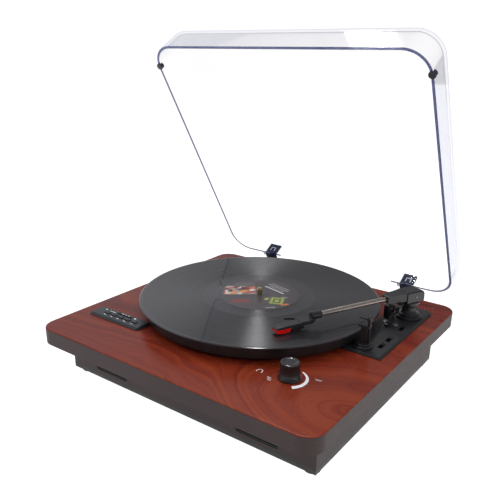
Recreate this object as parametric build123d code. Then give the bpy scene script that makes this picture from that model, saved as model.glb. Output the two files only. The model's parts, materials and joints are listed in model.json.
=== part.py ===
from build123d import *
import math
import os

# Belt-drive record player: a veneered top board on a lower box, a platter with a record on it,
# a straight tonearm with its rest and lift, a small control panel, and a clear hinged dust cover.
# Millimetres. +X is right, +Y is back, +Z is up. The functions below measure Y from the board's
# centre and Z from the table; save() moves everything so that the origin is on the table plane
# in the middle of the whole player with its cover open.

# --- Driving dimensions: case ---------------------------------------------------------------
BOARD_W, BOARD_D, BOARD_T = 380.0, 365.0, 19.5
BOARD_TOP = 70.0
BOARD_CORNER = 20.0
BOARD_BOTTOM = BOARD_TOP - BOARD_T
FOOT_H, FOOT_R = 6.0, 9.0
FOOT_X, FOOT_Y = 163.0, 134.0
BOX_W, BOX_D, BOX_WALL = 348.0, 294.0, 8.0
PANEL_T = 4.5
BOX_BOTTOM = FOOT_H + PANEL_T
PANEL_SCREW_X, PANEL_SCREW_Y = 140.0, 142.5
VENT_COUNT, VENT_PITCH, VENT_HALF_W, VENT_Y0, VENT_Y1 = 7, 10.0, 1.8, 60.0, 110.0
SCREW_HEAD_R, SCREW_R = 3.4, 1.5

# --- Platter, record and drive --------------------------------------------------------------
PLATTER_X, PLATTER_Y = -11.0, 21.0
RECORD_R, RECORD_T, RECORD_TOP = 150.8, 2.0, 90.9
LABEL_R, LABEL_T = 50.0, 0.15
MAT_R, MAT_T = 145.0, 2.4
PLATTER_R, PLATTER_BOTTOM = 143.0, 74.0
PLATTER_TOP = RECORD_TOP - RECORD_T - MAT_T
PLATE_T, SKIRT_T = 3.0, 3.0
RING_R, RING_T = 75.0, 3.0
SPINDLE_R, SPINDLE_TIP_R, SPINDLE_TOP = 3.6, 3.57, 100.0
SPINDLE_NECK_R, SPINDLE_NECK_H, SPINDLE_DOME_H = 3.35, 0.7, 2.5
JOURNAL_R, RUNNING = 3.0, 0.05
BEARING_R, BEARING_TOP, BEARING_BOTTOM = 8.0, 75.4, 24.0
BALL_R = 2.9
PULLEY_R, PULLEY_REACH, PULLEY_ANGLE = 5.0, 104.0, 140.0
BELT_GAP, BELT_T = 0.3, 0.8
BELT_Z0, BELT_Z1 = 77.0, 81.0
MOTOR_R, MOTOR_BOTTOM, MOTOR_SCREW_X = 16.0, 24.0, 20.5

# --- Tonearm ---------------------------------------------------------------------------------
ARM_X, ARM_Y, ARM_HEADING = 152.0, 112.0, 25.0
ARM_Z, TUBE_R, TUBE_BORE = 103.5, 3.0, 2.4
TILT_Z, TILT_PIN_R = 102.0, 1.5
PILLAR_R, PILLAR_TOP = 7.5, 88.0
HEAD_W = 8.0
HOUSING_HALF, HOUSING_HALF_W = 14.0, 10.0
HOUSING_BOTTOM, HOUSING_TOP = 96.0, 109.5
NOSE_END, NOSE_BOTTOM = 41.0, 98.5
SHELL_START, SHELL_END = 148.0, 196.0
SHELL_BOTTOM = 97.0
STYLUS_S0, STYLUS_S, STYLUS_CLEAR = 175.8, 190.0, 0.3
PLATE_X0, PLATE_X1, PLATE_Y0, PLATE_Y1 = 124.5, 171.7, -13.0, 146.0
BASE_T = 3.0
BASE_TOP = BOARD_TOP + BASE_T
LIFT_RADIUS, LIFT_HEADING, LIFT_GAP = 25.0, 50.0, 0.4
LEVER_Z, LEVER_L = 84.0, 26.0
REST_X, REST_Y, CLIP_X, CLIP_Z = 143.6, 2.5, 149.2, 108.0
SWITCH_X = 160.0
SWITCHES = {"mode_switch": 16.0, "auto_stop_switch": 36.0, "speed_switch": 73.0}

# --- Controls --------------------------------------------------------------------------------
DECK_X0, DECK_X1, DECK_Y0, DECK_Y1 = -171.0, -86.0, -121.5, -97.0
DECK_TOP = BOARD_TOP + 3.0
BUTTON_COUNT, BUTTON_PITCH, BUTTON_X0, BUTTON_Y = 5, 11.6, -148.8, -110.0
BUTTON_W, BUTTON_D, BUTTON_PROUD = 8.0, 4.4, 0.9
USB_X, USB_Y, USB_W, USB_D = -147.6, -102.4, 12.6, 4.8
CARD_X, CARD_Y, CARD_W, CARD_D = -125.2, -103.6, 25.0, 2.8
LED_X, LED_Y, LED_R = -108.5, -102.4, 1.4
KNOB_X, KNOB_Y, KNOB_SKIRT_R, KNOB_TOP_R, KNOB_H = 114.6, -103.8, 12.4, 10.6, 19.2

# --- Dust cover and hinges -------------------------------------------------------------------
COVER_W, COVER_D, COVER_H, COVER_T = 357.0, 353.5, 44.0, 3.0
COVER_CORNER, COVER_FILLET = 30.0, 12.0
COVER_BOTTOM = BOARD_TOP + 1.5
COVER_BACK = COVER_D / 2 - 0.25
COVER_OPEN = 59.0
HINGE_X, HINGE_Y, HINGE_Z = 113.0, 193.0, 59.2
KNUCKLE_R, HINGE_PIN_R, HINGE_SCREW_X = 5.0, 2.0, 15.2
TONGUE_W, TONGUE_T, TONGUE_H = 19.0, 2.4, 20.5
NOTCH_HALF, NOTCH_H = 86.0, 26.5
BUMPER_R, BUMPER_BACK = 4.0, 28.0

# --- Speakers and sockets --------------------------------------------------------------------
GRILLE_X, GRILLE_W, GRILLE_Z0, GRILLE_H = 105.5, 54.0, 16.0, 28.0
SLOT_COUNT, SLOT_FIRST, SLOT_PITCH, SLOT_H, SLOT_W = 5, 2.3, 5.5, 1.4, 49.2
JACK_PLATE_X, JACK_PLATE_W, JACK_Z = -118.0, 72.0, 29.0
JACK_STEP = 15.0
PHONES_X, PHONES_Z = 60.0, 31.0
CIRCUIT_X, CIRCUIT_Y, CIRCUIT_W, CIRCUIT_D, CIRCUIT_T = -95.0, 88.0, 110.0, 70.0, 1.6
STANDOFF_H, STANDOFF_R = 6.0, 3.5
CIRCUIT_Z = BOX_BOTTOM + STANDOFF_H

# The open cover's rearmost point is on its filleted rear top edge; the board's front edge is the
# frontmost point of the whole player.
_fillet_y = COVER_BACK - COVER_FILLET - HINGE_Y
_fillet_z = COVER_BOTTOM + COVER_H - COVER_FILLET - HINGE_Z
_open = math.radians(COVER_OPEN)
REARMOST = HINGE_Y + _fillet_y * math.cos(_open) + _fillet_z * math.sin(_open) + COVER_FILLET
SHIFT_Y = (BOARD_D / 2 - REARMOST) / 2


def save(node, *solids):
    """Write one node, of one or more separate solids, as a STEP file in the row frame."""
    placed = [Pos(0, SHIFT_Y, 0) * solid for solid in solids]
    shape = placed[0] if len(placed) == 1 else Compound(children=placed)
    export_step(shape, os.path.join("parts", node + ".step"))


def block(x0, x1, y0, y1, z0, z1):
    """A box between six planes."""
    return Pos((x0 + x1) / 2, (y0 + y1) / 2, (z0 + z1) / 2) * Box(x1 - x0, y1 - y0, z1 - z0)


def disc(x, y, z0, z1, radius):
    """An upright cylinder."""
    return Pos(x, y, (z0 + z1) / 2) * Cylinder(radius, z1 - z0)


def rod(start, end, radius):
    """A cylinder between two points."""
    axis = Vector(*end) - Vector(*start)
    return Plane(origin=start, z_dir=axis) * Cylinder(
        radius, axis.length, align=(Align.CENTER, Align.CENTER, Align.MIN)
    )


def revolved(x, y, profile):
    """A solid of revolution about the upright line at (x, y), from (radius, height) points."""
    face = make_face(Polyline(*[(r, 0, z) for r, z in profile], close=True))
    return Pos(x, y, 0) * revolve(face, Axis.Z)


def top_edges(shape):
    """The edges around the highest face."""
    return shape.faces().sort_by(Axis.Z)[-1].edges()


def pan_screw(x, y, z, up=1, length=7.0):
    """A pan-head screw with a cross slot; up is 1 for a head on top and -1 for one below."""
    head = disc(0, 0, 0, 1.8, SCREW_HEAD_R)
    head = fillet(top_edges(head), 0.9)
    slot = block(-2, 2, -0.35, 0.35, 1.2, 2)
    screw = head + disc(0, 0, -length, 0, SCREW_R) - slot - Rot(0, 0, 90) * slot
    return Pos(x, y, z) * Rot(0 if up > 0 else 180, 0, 0) * screw


# --- Case -------------------------------------------------------------------------------------
def top_board():
    """Veneered board with its openings for the bearing, motor, tonearm base, panel and knob."""
    board = extrude(RectangleRounded(BOARD_W, BOARD_D, BOARD_CORNER), BOARD_T)
    board = Pos(0, 0, BOARD_BOTTOM) * board
    board = fillet(top_edges(board), 1.6)
    board -= disc(PLATTER_X, PLATTER_Y, BOARD_BOTTOM, BOARD_TOP, BEARING_R + 0.3)
    pulley_x, pulley_y = pulley_place()
    board -= disc(pulley_x, pulley_y, BOARD_BOTTOM, BOARD_TOP, PULLEY_R + 2)
    board -= block(PLATE_X0 + 5, PLATE_X1 - 5, PLATE_Y0 + 5, PLATE_Y1 - 5, BOARD_BOTTOM, BOARD_TOP)
    board -= block(DECK_X0 + 5, DECK_X1 - 5, DECK_Y0 + 4, DECK_Y1 - 2.5, BOARD_BOTTOM, BOARD_TOP)
    board -= disc(KNOB_X, KNOB_Y, BOARD_BOTTOM, BOARD_TOP, 4.5)
    for side in (-1, 1):
        board -= disc(pulley_x + side * MOTOR_SCREW_X, pulley_y, BOARD_BOTTOM, BOARD_BOTTOM + 7, SCREW_R)
        for offset in (-HINGE_SCREW_X, HINGE_SCREW_X):
            x, z, back = side * HINGE_X + offset, HINGE_Z + 1.5, BOARD_D / 2
            board -= rod((x, back - 7, z), (x, back, z), SCREW_R)
    return board


def box_spots():
    """The corners of the screw pattern that holds the bottom panel."""
    return [(sx * PANEL_SCREW_X, sy * PANEL_SCREW_Y) for sx in (-1, 1) for sy in (-1, 1)]


def screw_pilots(wall):
    """A front or rear wall with the pilot holes for the bottom panel's screws."""
    for x, y in box_spots():
        wall -= disc(x, y, BOX_BOTTOM, BOX_BOTTOM + 5, SCREW_R)
    return wall


def box_front():
    """Front wall of the lower box with two speaker openings and a headphone hole."""
    half_w, half_d = BOX_W / 2 - BOX_WALL, BOX_D / 2
    wall = block(-half_w, half_w, -half_d, BOX_WALL - half_d, BOX_BOTTOM, BOARD_BOTTOM)
    for side in (-1, 1):
        opening = Pos(side * GRILLE_X, -half_d + BOX_WALL / 2, GRILLE_Z0 + GRILLE_H / 2)
        wall -= opening * Rot(90, 0, 0) * Pos(0, 0, -BOX_WALL) * extrude(
            RectangleRounded(GRILLE_W, GRILLE_H, 5), 2 * BOX_WALL
        )
    wall -= rod((PHONES_X, -half_d, PHONES_Z), (PHONES_X, BOX_WALL - half_d, PHONES_Z), 4.0)
    return screw_pilots(wall)


def box_rear():
    """Rear wall of the lower box with the window for the sockets."""
    half_w, half_d = BOX_W / 2 - BOX_WALL, BOX_D / 2
    wall = block(-half_w, half_w, half_d - BOX_WALL, half_d, BOX_BOTTOM, BOARD_BOTTOM)
    window_x0, window_x1 = JACK_PLATE_X - JACK_PLATE_W / 2 + 5, JACK_PLATE_X + JACK_PLATE_W / 2 - 5
    wall -= block(window_x0, window_x1, half_d - BOX_WALL, half_d, JACK_Z - 10, JACK_Z + 10)
    return screw_pilots(wall)


def box_side(side):
    """One side wall of the lower box, as long as the box is deep."""
    x0, x1 = sorted((side * BOX_W / 2, side * (BOX_W / 2 - BOX_WALL)))
    return block(x0, x1, -BOX_D / 2, BOX_D / 2, BOX_BOTTOM, BOARD_BOTTOM)


def bottom_panel():
    """Flat bottom panel with vent slots and countersunk screw holes."""
    panel = block(-BOX_W / 2, BOX_W / 2, -BOX_D / 2, BOX_D / 2, FOOT_H, BOX_BOTTOM)
    for column in range(VENT_COUNT):
        x = VENT_PITCH * (column - (VENT_COUNT - 1) / 2)
        panel -= block(x - VENT_HALF_W, x + VENT_HALF_W, VENT_Y0, VENT_Y1, FOOT_H, BOX_BOTTOM)
    for x, y in box_spots():
        panel -= disc(x, y, FOOT_H, BOX_BOTTOM, SCREW_R)
        panel -= disc(x, y, FOOT_H, FOOT_H + 2, SCREW_HEAD_R + 0.3)
    return panel


def foot(x, y):
    """Tapered round rubber foot."""
    profile = [(0, 0), (FOOT_R - 1.5, 0), (FOOT_R - 0.6, 0.8), (FOOT_R, FOOT_H), (0, FOOT_H)]
    return revolved(x, y, profile)


def case_screws():
    """Panel screws from below and hinge screws from behind."""
    screws = [pan_screw(x, y, FOOT_H + 2, up=-1) for x, y in box_spots()]
    for side in (-1, 1):
        for offset in (-HINGE_SCREW_X, HINGE_SCREW_X):
            turn = Pos(side * HINGE_X + offset, BOARD_D / 2 + 2.5, HINGE_Z + 1.5) * Rot(-90, 0, 0)
            screws.append(turn * pan_screw(0, 0, 0, length=9))
    return screws


# --- Speakers, electronics, sockets ----------------------------------------------------------
def speaker_grille(side):
    """Slotted grille that fills one front opening."""
    face_y = -BOX_D / 2 + 0.6
    plate = Pos(side * GRILLE_X, face_y + 2.5, GRILLE_Z0 + GRILLE_H / 2) * Rot(90, 0, 0) * extrude(
        RectangleRounded(GRILLE_W - 0.2, GRILLE_H - 0.2, 4.9), 2.5
    )
    x0, x1 = side * GRILLE_X - SLOT_W / 2, side * GRILLE_X + SLOT_W / 2
    for row in range(SLOT_COUNT):
        z = GRILLE_Z0 + SLOT_FIRST + SLOT_PITCH * row
        plate -= block(x0, x1, face_y - 1, face_y + 3, z - SLOT_H / 2, z + SLOT_H / 2)
    return plate


def speaker_frame(side):
    """Square mounting plate, basket and magnet of a small round driver facing the front."""
    basket = revolved(0, 0, [(17, 0), (18.2, 0), (10.5, 12), (10.5, 13.5), (8, 13.5), (8, 12)])
    basket += disc(0, 0, 13.5, 21.5, 13.5)
    plate = block(-25, 25, -18, 18, -2, 0) - disc(0, 0, -2, 0, 15.5)
    driver = basket + plate
    place = Pos(side * GRILLE_X, -BOX_D / 2 + BOX_WALL + 2, GRILLE_Z0 + GRILLE_H / 2)
    return place * Rot(-90, 0, 0) * driver


def speaker_cone(side):
    """Paper cone with its surround and dust cap."""
    cone = revolved(0, 0, [(15.4, -1.4), (15.4, -0.4), (13, -0.4), (5, 8.6), (0, 8.6), (0, 7.8),
                           (4.5, 7.8), (12.6, -1.4)])
    place = Pos(side * GRILLE_X, -BOX_D / 2 + BOX_WALL + 2, GRILLE_Z0 + GRILLE_H / 2)
    return place * Rot(-90, 0, 0) * cone


def standoffs():
    """The four posts that hold the circuit board over the bottom panel."""
    half_w, half_d = CIRCUIT_W / 2 - 5, CIRCUIT_D / 2 - 5
    return [disc(CIRCUIT_X + sx * half_w, CIRCUIT_Y + sy * half_d, BOX_BOTTOM, CIRCUIT_Z, STANDOFF_R)
            for sx in (-1, 1) for sy in (-1, 1)]


def circuit_board():
    """Amplifier board."""
    half_w, half_d = CIRCUIT_W / 2, CIRCUIT_D / 2
    x0, x1, y0, y1 = CIRCUIT_X - half_w, CIRCUIT_X + half_w, CIRCUIT_Y - half_d, CIRCUIT_Y + half_d
    return block(x0, x1, y0, y1, CIRCUIT_Z, CIRCUIT_Z + CIRCUIT_T)


def circuit_components():
    """Capacitors in a row, two chips and a finned heat sink on the board."""
    base = CIRCUIT_Z + CIRCUIT_T
    pieces = [disc(CIRCUIT_X - 45 + 13 * i, CIRCUIT_Y - 22, base, base + 12, 5) for i in range(5)]
    pieces += [block(CIRCUIT_X - 30 + 30 * i, CIRCUIT_X - 16 + 30 * i, CIRCUIT_Y - 5, CIRCUIT_Y + 7,
                     base, base + 2) for i in range(2)]
    sink = block(CIRCUIT_X + 26, CIRCUIT_X + 48, CIRCUIT_Y - 6, CIRCUIT_Y + 14, base, base + 3)
    for fin in range(5):
        x = CIRCUIT_X + 27 + 5 * fin
        sink += block(x - 0.8, x + 0.8, CIRCUIT_Y - 6, CIRCUIT_Y + 14, base + 3, base + 14)
    return pieces + [sink]


def rear_jack_plate():
    """Moulded plate in the rear window that carries the rear sockets."""
    rear = BOX_D / 2
    x0, x1 = JACK_PLATE_X - JACK_PLATE_W / 2, JACK_PLATE_X + JACK_PLATE_W / 2
    plate = block(x0, x1, rear, rear + 2, JACK_Z - 14, JACK_Z + 14)
    plate += block(x0 + 5.2, x1 - 5.2, rear - 6, rear, JACK_Z - 9.8, JACK_Z + 9.8)
    for index in range(4):
        x = jack_x(index)
        plate -= rod((x, rear - 6, JACK_Z), (x, rear + 2, JACK_Z), 5.0)
    return plate


def jack_x(index):
    """X of one of the four rear sockets."""
    return JACK_PLATE_X + (index - 1.5) * JACK_STEP


def socket(x, z, face_y, outward, bore, barrel, proud, depth):
    """Round socket: a barrel through the wall with a blind bore, and a square body behind it."""
    back = face_y - outward * (depth - proud)
    body = rod((x, back, z), (x, face_y + outward * proud, z), barrel)
    y0, y1 = sorted((back - outward * 3, back + outward * 4))
    body += block(x - 5, x + 5, y0, y1, z - 5, z + 5)
    body -= rod((x, face_y + outward * (proud - 8.0), z), (x, face_y + outward * proud, z), bore)
    return body


def rear_jacks():
    """Two phono sockets that stand proud, a line-in socket and a power socket."""
    rear = BOX_D / 2 + 2
    jacks = [socket(jack_x(i), JACK_Z, rear, 1, 1.65, 4.15, 8.0, 22.0) for i in range(2)]
    jacks.append(socket(jack_x(2), JACK_Z, rear, 1, 1.8, 4.9, 0.6, 14.0))
    jacks.append(socket(jack_x(3), JACK_Z, rear, 1, 2.8, 4.9, 0.6, 14.0))
    return jacks


def headphone_jack():
    """Headphone socket in the front wall."""
    return socket(PHONES_X, PHONES_Z, -BOX_D / 2, -1, 1.8, 3.9, 0.6, 14.0)


# --- Platter and drive -------------------------------------------------------------------------
def pulley_place():
    """Axis of the motor."""
    angle = math.radians(PULLEY_ANGLE)
    return PLATTER_X + PULLEY_REACH * math.cos(angle), PLATTER_Y + PULLEY_REACH * math.sin(angle)


def motor_body():
    """Motor can with a mounting collar under the board and a bore for its shaft."""
    x, y = pulley_place()
    body = disc(x, y, MOTOR_BOTTOM, BOARD_BOTTOM - 2, MOTOR_R)
    body = fillet(body.faces().sort_by(Axis.Z)[0].edges(), 2)
    body += disc(x, y, BOARD_BOTTOM - 2, BOARD_BOTTOM, MOTOR_R - 6)
    body += block(x - 25, x + 25, y - 8, y + 8, BOARD_BOTTOM - 4, BOARD_BOTTOM - 2)
    for side in (-1, 1):
        body += disc(x + side * MOTOR_SCREW_X, y, BOARD_BOTTOM - 2, BOARD_BOTTOM, 4)
        body -= disc(x + side * MOTOR_SCREW_X, y, BOARD_BOTTOM - 5, BOARD_BOTTOM, SCREW_R)
    body -= disc(x, y, MOTOR_BOTTOM + 4, BOARD_BOTTOM, 1.5 + RUNNING)
    return body


def motor_pulley():
    """Crowned pulley between two flanges, on the motor's shaft."""
    x, y = pulley_place()
    r = PULLEY_R
    profile = [(0, 76), (r + 1, 76), (r + 1, 76.6), (r - 0.2, 76.7), (r, 79), (r - 0.2, 81.3),
               (r + 1, 81.4), (r + 1, 82), (0, 82)]
    return revolved(x, y, profile) + disc(x, y, MOTOR_BOTTOM + 4.2, 76, 1.5)


def drive_belt():
    """Flat belt around the platter's inner ring and the motor pulley."""
    x, y = pulley_place()
    loops = []
    for grow in (BELT_GAP + BELT_T, BELT_GAP):
        large = Pos(PLATTER_X, PLATTER_Y) * Circle(RING_R + grow)
        small = Pos(x, y) * Circle(PULLEY_R + grow)
        loops.append(make_hull([*large.edges(), *small.edges()]))
    band = loops[0] - loops[1]
    return Pos(0, 0, BELT_Z0) * extrude(band, BELT_Z1 - BELT_Z0)


def bearing_housing():
    """Flanged bearing tube for the spindle, closed at the bottom."""
    tube = disc(PLATTER_X, PLATTER_Y, BEARING_BOTTOM, BEARING_TOP, BEARING_R)
    tube += disc(PLATTER_X, PLATTER_Y, BOARD_BOTTOM - 3, BOARD_BOTTOM, 20)
    return tube - disc(PLATTER_X, PLATTER_Y, BEARING_BOTTOM + 3, BEARING_TOP, JOURNAL_R + RUNNING)


def thrust_ball():
    """Steel ball that the spindle turns on."""
    return Pos(PLATTER_X, PLATTER_Y, BEARING_BOTTOM + 3 + BALL_R) * Sphere(BALL_R)


def spindle():
    """Spindle: a journal in the bearing, a seat in the platter, a neck and a tip with a domed end."""
    start = BEARING_BOTTOM + 3 + 2 * BALL_R + RUNNING
    neck = RECORD_TOP + LABEL_T
    tip, dome_z = neck + SPINDLE_NECK_H, SPINDLE_TOP - SPINDLE_DOME_H
    profile = [(0, start), (JOURNAL_R, start), (JOURNAL_R, 77), (SPINDLE_R, 77), (SPINDLE_R, neck),
               (SPINDLE_NECK_R, neck), (SPINDLE_NECK_R, tip), (SPINDLE_TIP_R, tip),
               (SPINDLE_TIP_R, dome_z), (0, dome_z)]
    dome = Pos(PLATTER_X, PLATTER_Y, dome_z) * Sphere(SPINDLE_TIP_R)
    cap = dome & disc(PLATTER_X, PLATTER_Y, dome_z, SPINDLE_TOP, SPINDLE_TIP_R + 1)
    return revolved(PLATTER_X, PLATTER_Y, profile) + cap


def platter():
    """Platter with an outer skirt, an inner ring for the belt and a hub."""
    top, low = PLATTER_TOP, PLATTER_TOP - PLATE_T
    r = PLATTER_R
    profile = [(SPINDLE_R, 77), (10, 77), (10, low), (RING_R - RING_T, low), (RING_R - RING_T, 76.2),
               (RING_R, 76.2), (RING_R, low), (r - SKIRT_T, low), (r - SKIRT_T, PLATTER_BOTTOM),
               (r - 0.6, PLATTER_BOTTOM), (r, PLATTER_BOTTOM + 0.6), (r, top - 1), (r - 1, top),
               (SPINDLE_R, top)]
    return revolved(PLATTER_X, PLATTER_Y, profile)


def annulus(outer, inner, z0, z1):
    """A flat ring about the spindle."""
    return disc(PLATTER_X, PLATTER_Y, z0, z1, outer) - disc(PLATTER_X, PLATTER_Y, z0, z1, inner)


def vinyl_record():
    """Record with a thicker edge bead and label area than its grooved area."""
    z1, z0, r = RECORD_TOP, RECORD_TOP - RECORD_T, RECORD_R
    profile = [(SPINDLE_R + 0.03, z0), (r - 4, z0), (r - 1, z0 + 0.1), (r, z0 + 0.8), (r, z1 - 0.8),
               (r - 1, z1 - 0.1), (r - 4, z1 - 0.25), (LABEL_R + 6, z1 - 0.25), (LABEL_R + 2, z1),
               (SPINDLE_R + 0.03, z1)]
    return revolved(PLATTER_X, PLATTER_Y, profile)


# --- Tonearm -----------------------------------------------------------------------------------
# Arm pieces are drawn with +X along the arm from its pillar, +Y to its left, Z from the table.
ARM_PLACE = Pos(ARM_X, ARM_Y, 0) * Rot(0, 0, -90 - ARM_HEADING)


def around_pillar(radius, heading):
    """Point at a radius from the pillar; heading is measured from the front towards the left."""
    angle = math.radians(heading)
    return ARM_X - radius * math.sin(angle), ARM_Y - radius * math.cos(angle)


def side_profile(points, half_width):
    """A side view in (along, height), extruded evenly to both sides of the arm."""
    face = make_face(Polyline(*[(s, 0, z) for s, z in points], close=True))
    return extrude(face, half_width, both=True)


def arm_base_plate():
    """Bevelled black plate under the tonearm with switch slots and screw holes."""
    plate = block(PLATE_X0, PLATE_X1, PLATE_Y0, PLATE_Y1, BOARD_TOP, BASE_TOP)
    corners = plate.edges().filter_by(Axis.Z)
    plate = fillet(corners.group_by(Axis.Y)[-1].sort_by(Axis.X)[-1], 10)
    plate = chamfer(top_edges(plate), 2.2)
    plate += block(PLATE_X0 + 5.3, PLATE_X1 - 5.3, PLATE_Y0 + 5.3, PLATE_Y1 - 5.3, BOARD_TOP - 6, BOARD_TOP)
    for y in SWITCHES.values():
        plate -= block(SWITCH_X - 2.6, SWITCH_X + 2.6, y - 7, y + 7, BOARD_TOP - 6, BASE_TOP)
    plate -= disc(ARM_X, ARM_Y, BOARD_TOP - 6, BASE_TOP, PILLAR_R + 0.1)
    lift_x, lift_y = around_pillar(LIFT_RADIUS, LIFT_HEADING)
    plate -= disc(lift_x, lift_y, BASE_TOP - 2, BASE_TOP, 4.0)
    for x, y in plate_screw_spots():
        plate -= disc(x, y, BOARD_TOP - 6, BASE_TOP, SCREW_R)
    return plate


def plate_screw_spots():
    """The two small screws in the tonearm base plate."""
    return [(136.8, 79.2), (149.7, 76.2)]


def small_screws():
    """Base plate screws from above and motor screws from below."""
    screws = []
    for x, y in plate_screw_spots():
        screws.append(pan_screw(x, y, BASE_TOP, length=8.5))
    x, y = pulley_place()
    for side in (-1, 1):
        screws.append(pan_screw(x + side * MOTOR_SCREW_X, y, BOARD_BOTTOM - 4, up=-1, length=10))
    return screws


def arm_pillar():
    """Stepped round pedestal and column with the swing bearing's bore."""
    profile = [(0, 62), (PILLAR_R, 62), (PILLAR_R, BASE_TOP), (16, BASE_TOP), (16, 75.4), (15.2, 76.2),
               (12.6, 76.4), (12.6, 78.2), (11.8, 79), (10.4, 79.8), (9, 83), (8.6, PILLAR_TOP),
               (0, PILLAR_TOP)]
    return revolved(ARM_X, ARM_Y, profile) - disc(ARM_X, ARM_Y, 64, PILLAR_TOP, JOURNAL_R + RUNNING)


def pivot_head():
    """Swinging head: a shaft in the pillar, a round skirt and an upright that holds the tilt pin."""
    head = disc(0, 0, 64.5, PILLAR_TOP + 0.3, JOURNAL_R)
    low, high = PILLAR_TOP + 0.3, PILLAR_TOP + 6.6
    head += revolved(0, 0, [(0, low), (9.2, low), (10.5, low + 1.7), (10.5, high - 0.4), (10, high), (0, high)])
    upright = block(-5, 5, -HEAD_W / 2, HEAD_W / 2, PILLAR_TOP + 3, TILT_Z)
    upright += rod((0, -HEAD_W / 2, TILT_Z), (0, HEAD_W / 2, TILT_Z), 5.0)
    head += upright
    head -= rod((0, -HEAD_W, TILT_Z), (0, HEAD_W, TILT_Z), TILT_PIN_R + RUNNING)
    return ARM_PLACE * head


def arm_housing():
    """Faceted rear body of the arm: a rounded block over the pivot head and a tapering nose."""
    saddle = side_profile(
        [(-HOUSING_HALF, HOUSING_BOTTOM), (HOUSING_HALF, HOUSING_BOTTOM), (HOUSING_HALF, HOUSING_TOP),
         (-HOUSING_HALF, HOUSING_TOP)], HOUSING_HALF_W)
    rear_top = saddle.edges().filter_by(Axis.Y).sort_by(lambda e: e.center().X - e.center().Z)[0]
    saddle = fillet(rear_top, 7)
    saddle = chamfer(top_edges(saddle), 1.4)
    nose = side_profile(
        [(HOUSING_HALF, NOSE_BOTTOM), (NOSE_END - 2, NOSE_BOTTOM), (NOSE_END, NOSE_BOTTOM + 1.6),
         (NOSE_END, 107.4), (NOSE_END - 3, 108.2), (HOUSING_HALF, 108.8)], 9)
    plan = make_face(Polyline((HOUSING_HALF, -8.8), (NOSE_END, -5.4), (NOSE_END, 5.4),
                              (HOUSING_HALF, 8.8), close=True))
    nose &= Pos(0, 0, 90) * extrude(plan, 30)
    body = saddle + nose
    body -= block(-7.5, 7.5, -HEAD_W / 2 - 0.4, HEAD_W / 2 + 0.4, HOUSING_BOTTOM, 107.9)
    body -= block(-13, -8.6, -8, 8, HOUSING_BOTTOM, 106)
    body -= rod((22, 0, ARM_Z), (NOSE_END, 0, ARM_Z), TUBE_R)
    body -= rod((0, -HOUSING_HALF_W, TILT_Z), (0, HOUSING_HALF_W, TILT_Z), TILT_PIN_R)
    return ARM_PLACE * body


def arm_tube():
    """Straight satin tube from the housing's nose to the head shell's collar."""
    tube = rod((22, 0, ARM_Z), (144, 0, ARM_Z), TUBE_R) - rod((22, 0, ARM_Z), (144, 0, ARM_Z), TUBE_BORE)
    return ARM_PLACE * tube


def headshell():
    """Collar on the tube, low flat shell that narrows to the front, and a finger lift."""
    shell = side_profile(
        [(SHELL_START - 3, 98.6), (SHELL_START - 3, 101.6), (163, 101.6), (164.5, 100.4), (188, 99.9),
         (193.5, 99), (SHELL_END, 97.8), (SHELL_END, SHELL_BOTTOM), (SHELL_START + 2, SHELL_BOTTOM)], 8)
    plan = make_face(Polyline((SHELL_START - 3, -4.8), (SHELL_START + 2, -6.6), (163, -6.8), (166, -5.6),
                              (188, -5.4), (SHELL_END, -4), (SHELL_END, 4), (188, 5.4), (166, 5.6),
                              (163, 6.8), (SHELL_START + 2, 6.6), (SHELL_START - 3, 4.8), close=True))
    shell &= Pos(0, 0, 90) * extrude(plan, 30)
    collar = rod((135, 0, ARM_Z), (SHELL_START, 0, ARM_Z), 4.6)
    for end in (0, -1):
        collar = chamfer(collar.edges().filter_by(GeomType.CIRCLE).sort_by(Axis.X)[end], 0.8)
    shell += collar
    shell -= rod((135, 0, ARM_Z), (144, 0, ARM_Z), TUBE_R)
    lift = make_face(Polyline((150, -5.6), (154, -8.6), (163, -13.2), (170, -16), (173, -17.3),
                              (173.6, -16), (170.5, -14.4), (163.5, -11.2), (156, -5.6), close=True))
    shell += Pos(0, 0, 97.4) * extrude(lift, 2)
    return ARM_PLACE * shell


def cartridge():
    """Cartridge body under the head shell, behind the stylus holder."""
    return ARM_PLACE * block(160, STYLUS_S0 - 0.2, -4.8, 4.8, 92.6, SHELL_BOTTOM)


def stylus():
    """Red stylus holder with a sloped front and a fine needle over the groove."""
    tip = RECORD_TOP - 0.25 + STYLUS_CLEAR
    root = 92.4
    top = SHELL_BOTTOM - 0.1
    holder = side_profile([(STYLUS_S0 + 2.7, root - 0.2), (186, root - 0.5), (192.8, root - 0.1),
                           (195.6, 94.4), (195.6, top), (STYLUS_S0, top)], 4.8)
    needle = Pos(STYLUS_S, 0, (tip + root) / 2) * Cone(0.15, 0.7, root - tip)
    return ARM_PLACE * (holder + needle)


def counterweight():
    """Steel slug in the rear of the housing."""
    return ARM_PLACE * block(-13, -8.6, -8, 8, HOUSING_BOTTOM + 0.5, 106)


def tilt_axle():
    """Pin that the arm tips on."""
    reach = HOUSING_HALF_W + 0.3
    return ARM_PLACE * rod((0, -reach, TILT_Z), (0, reach, TILT_Z), TILT_PIN_R)


def lift_cylinder():
    """Round guide of the arm lift with a side boss for the lever."""
    x, y = around_pillar(LIFT_RADIUS, LIFT_HEADING)
    body = disc(x, y, BASE_TOP, 90, 6.5)
    body = chamfer(top_edges(body), 1)
    body += disc(x, y, BASE_TOP - 2, BASE_TOP, 4.0)
    body += rod((x, y, LEVER_Z), (x + 8, y, LEVER_Z), 4.0)
    body -= disc(x, y, BASE_TOP, 90, 2.0 + RUNNING)
    body -= rod((x + 3, y, LEVER_Z), (x + 8, y, LEVER_Z), 1.5 + RUNNING)
    return body


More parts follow.
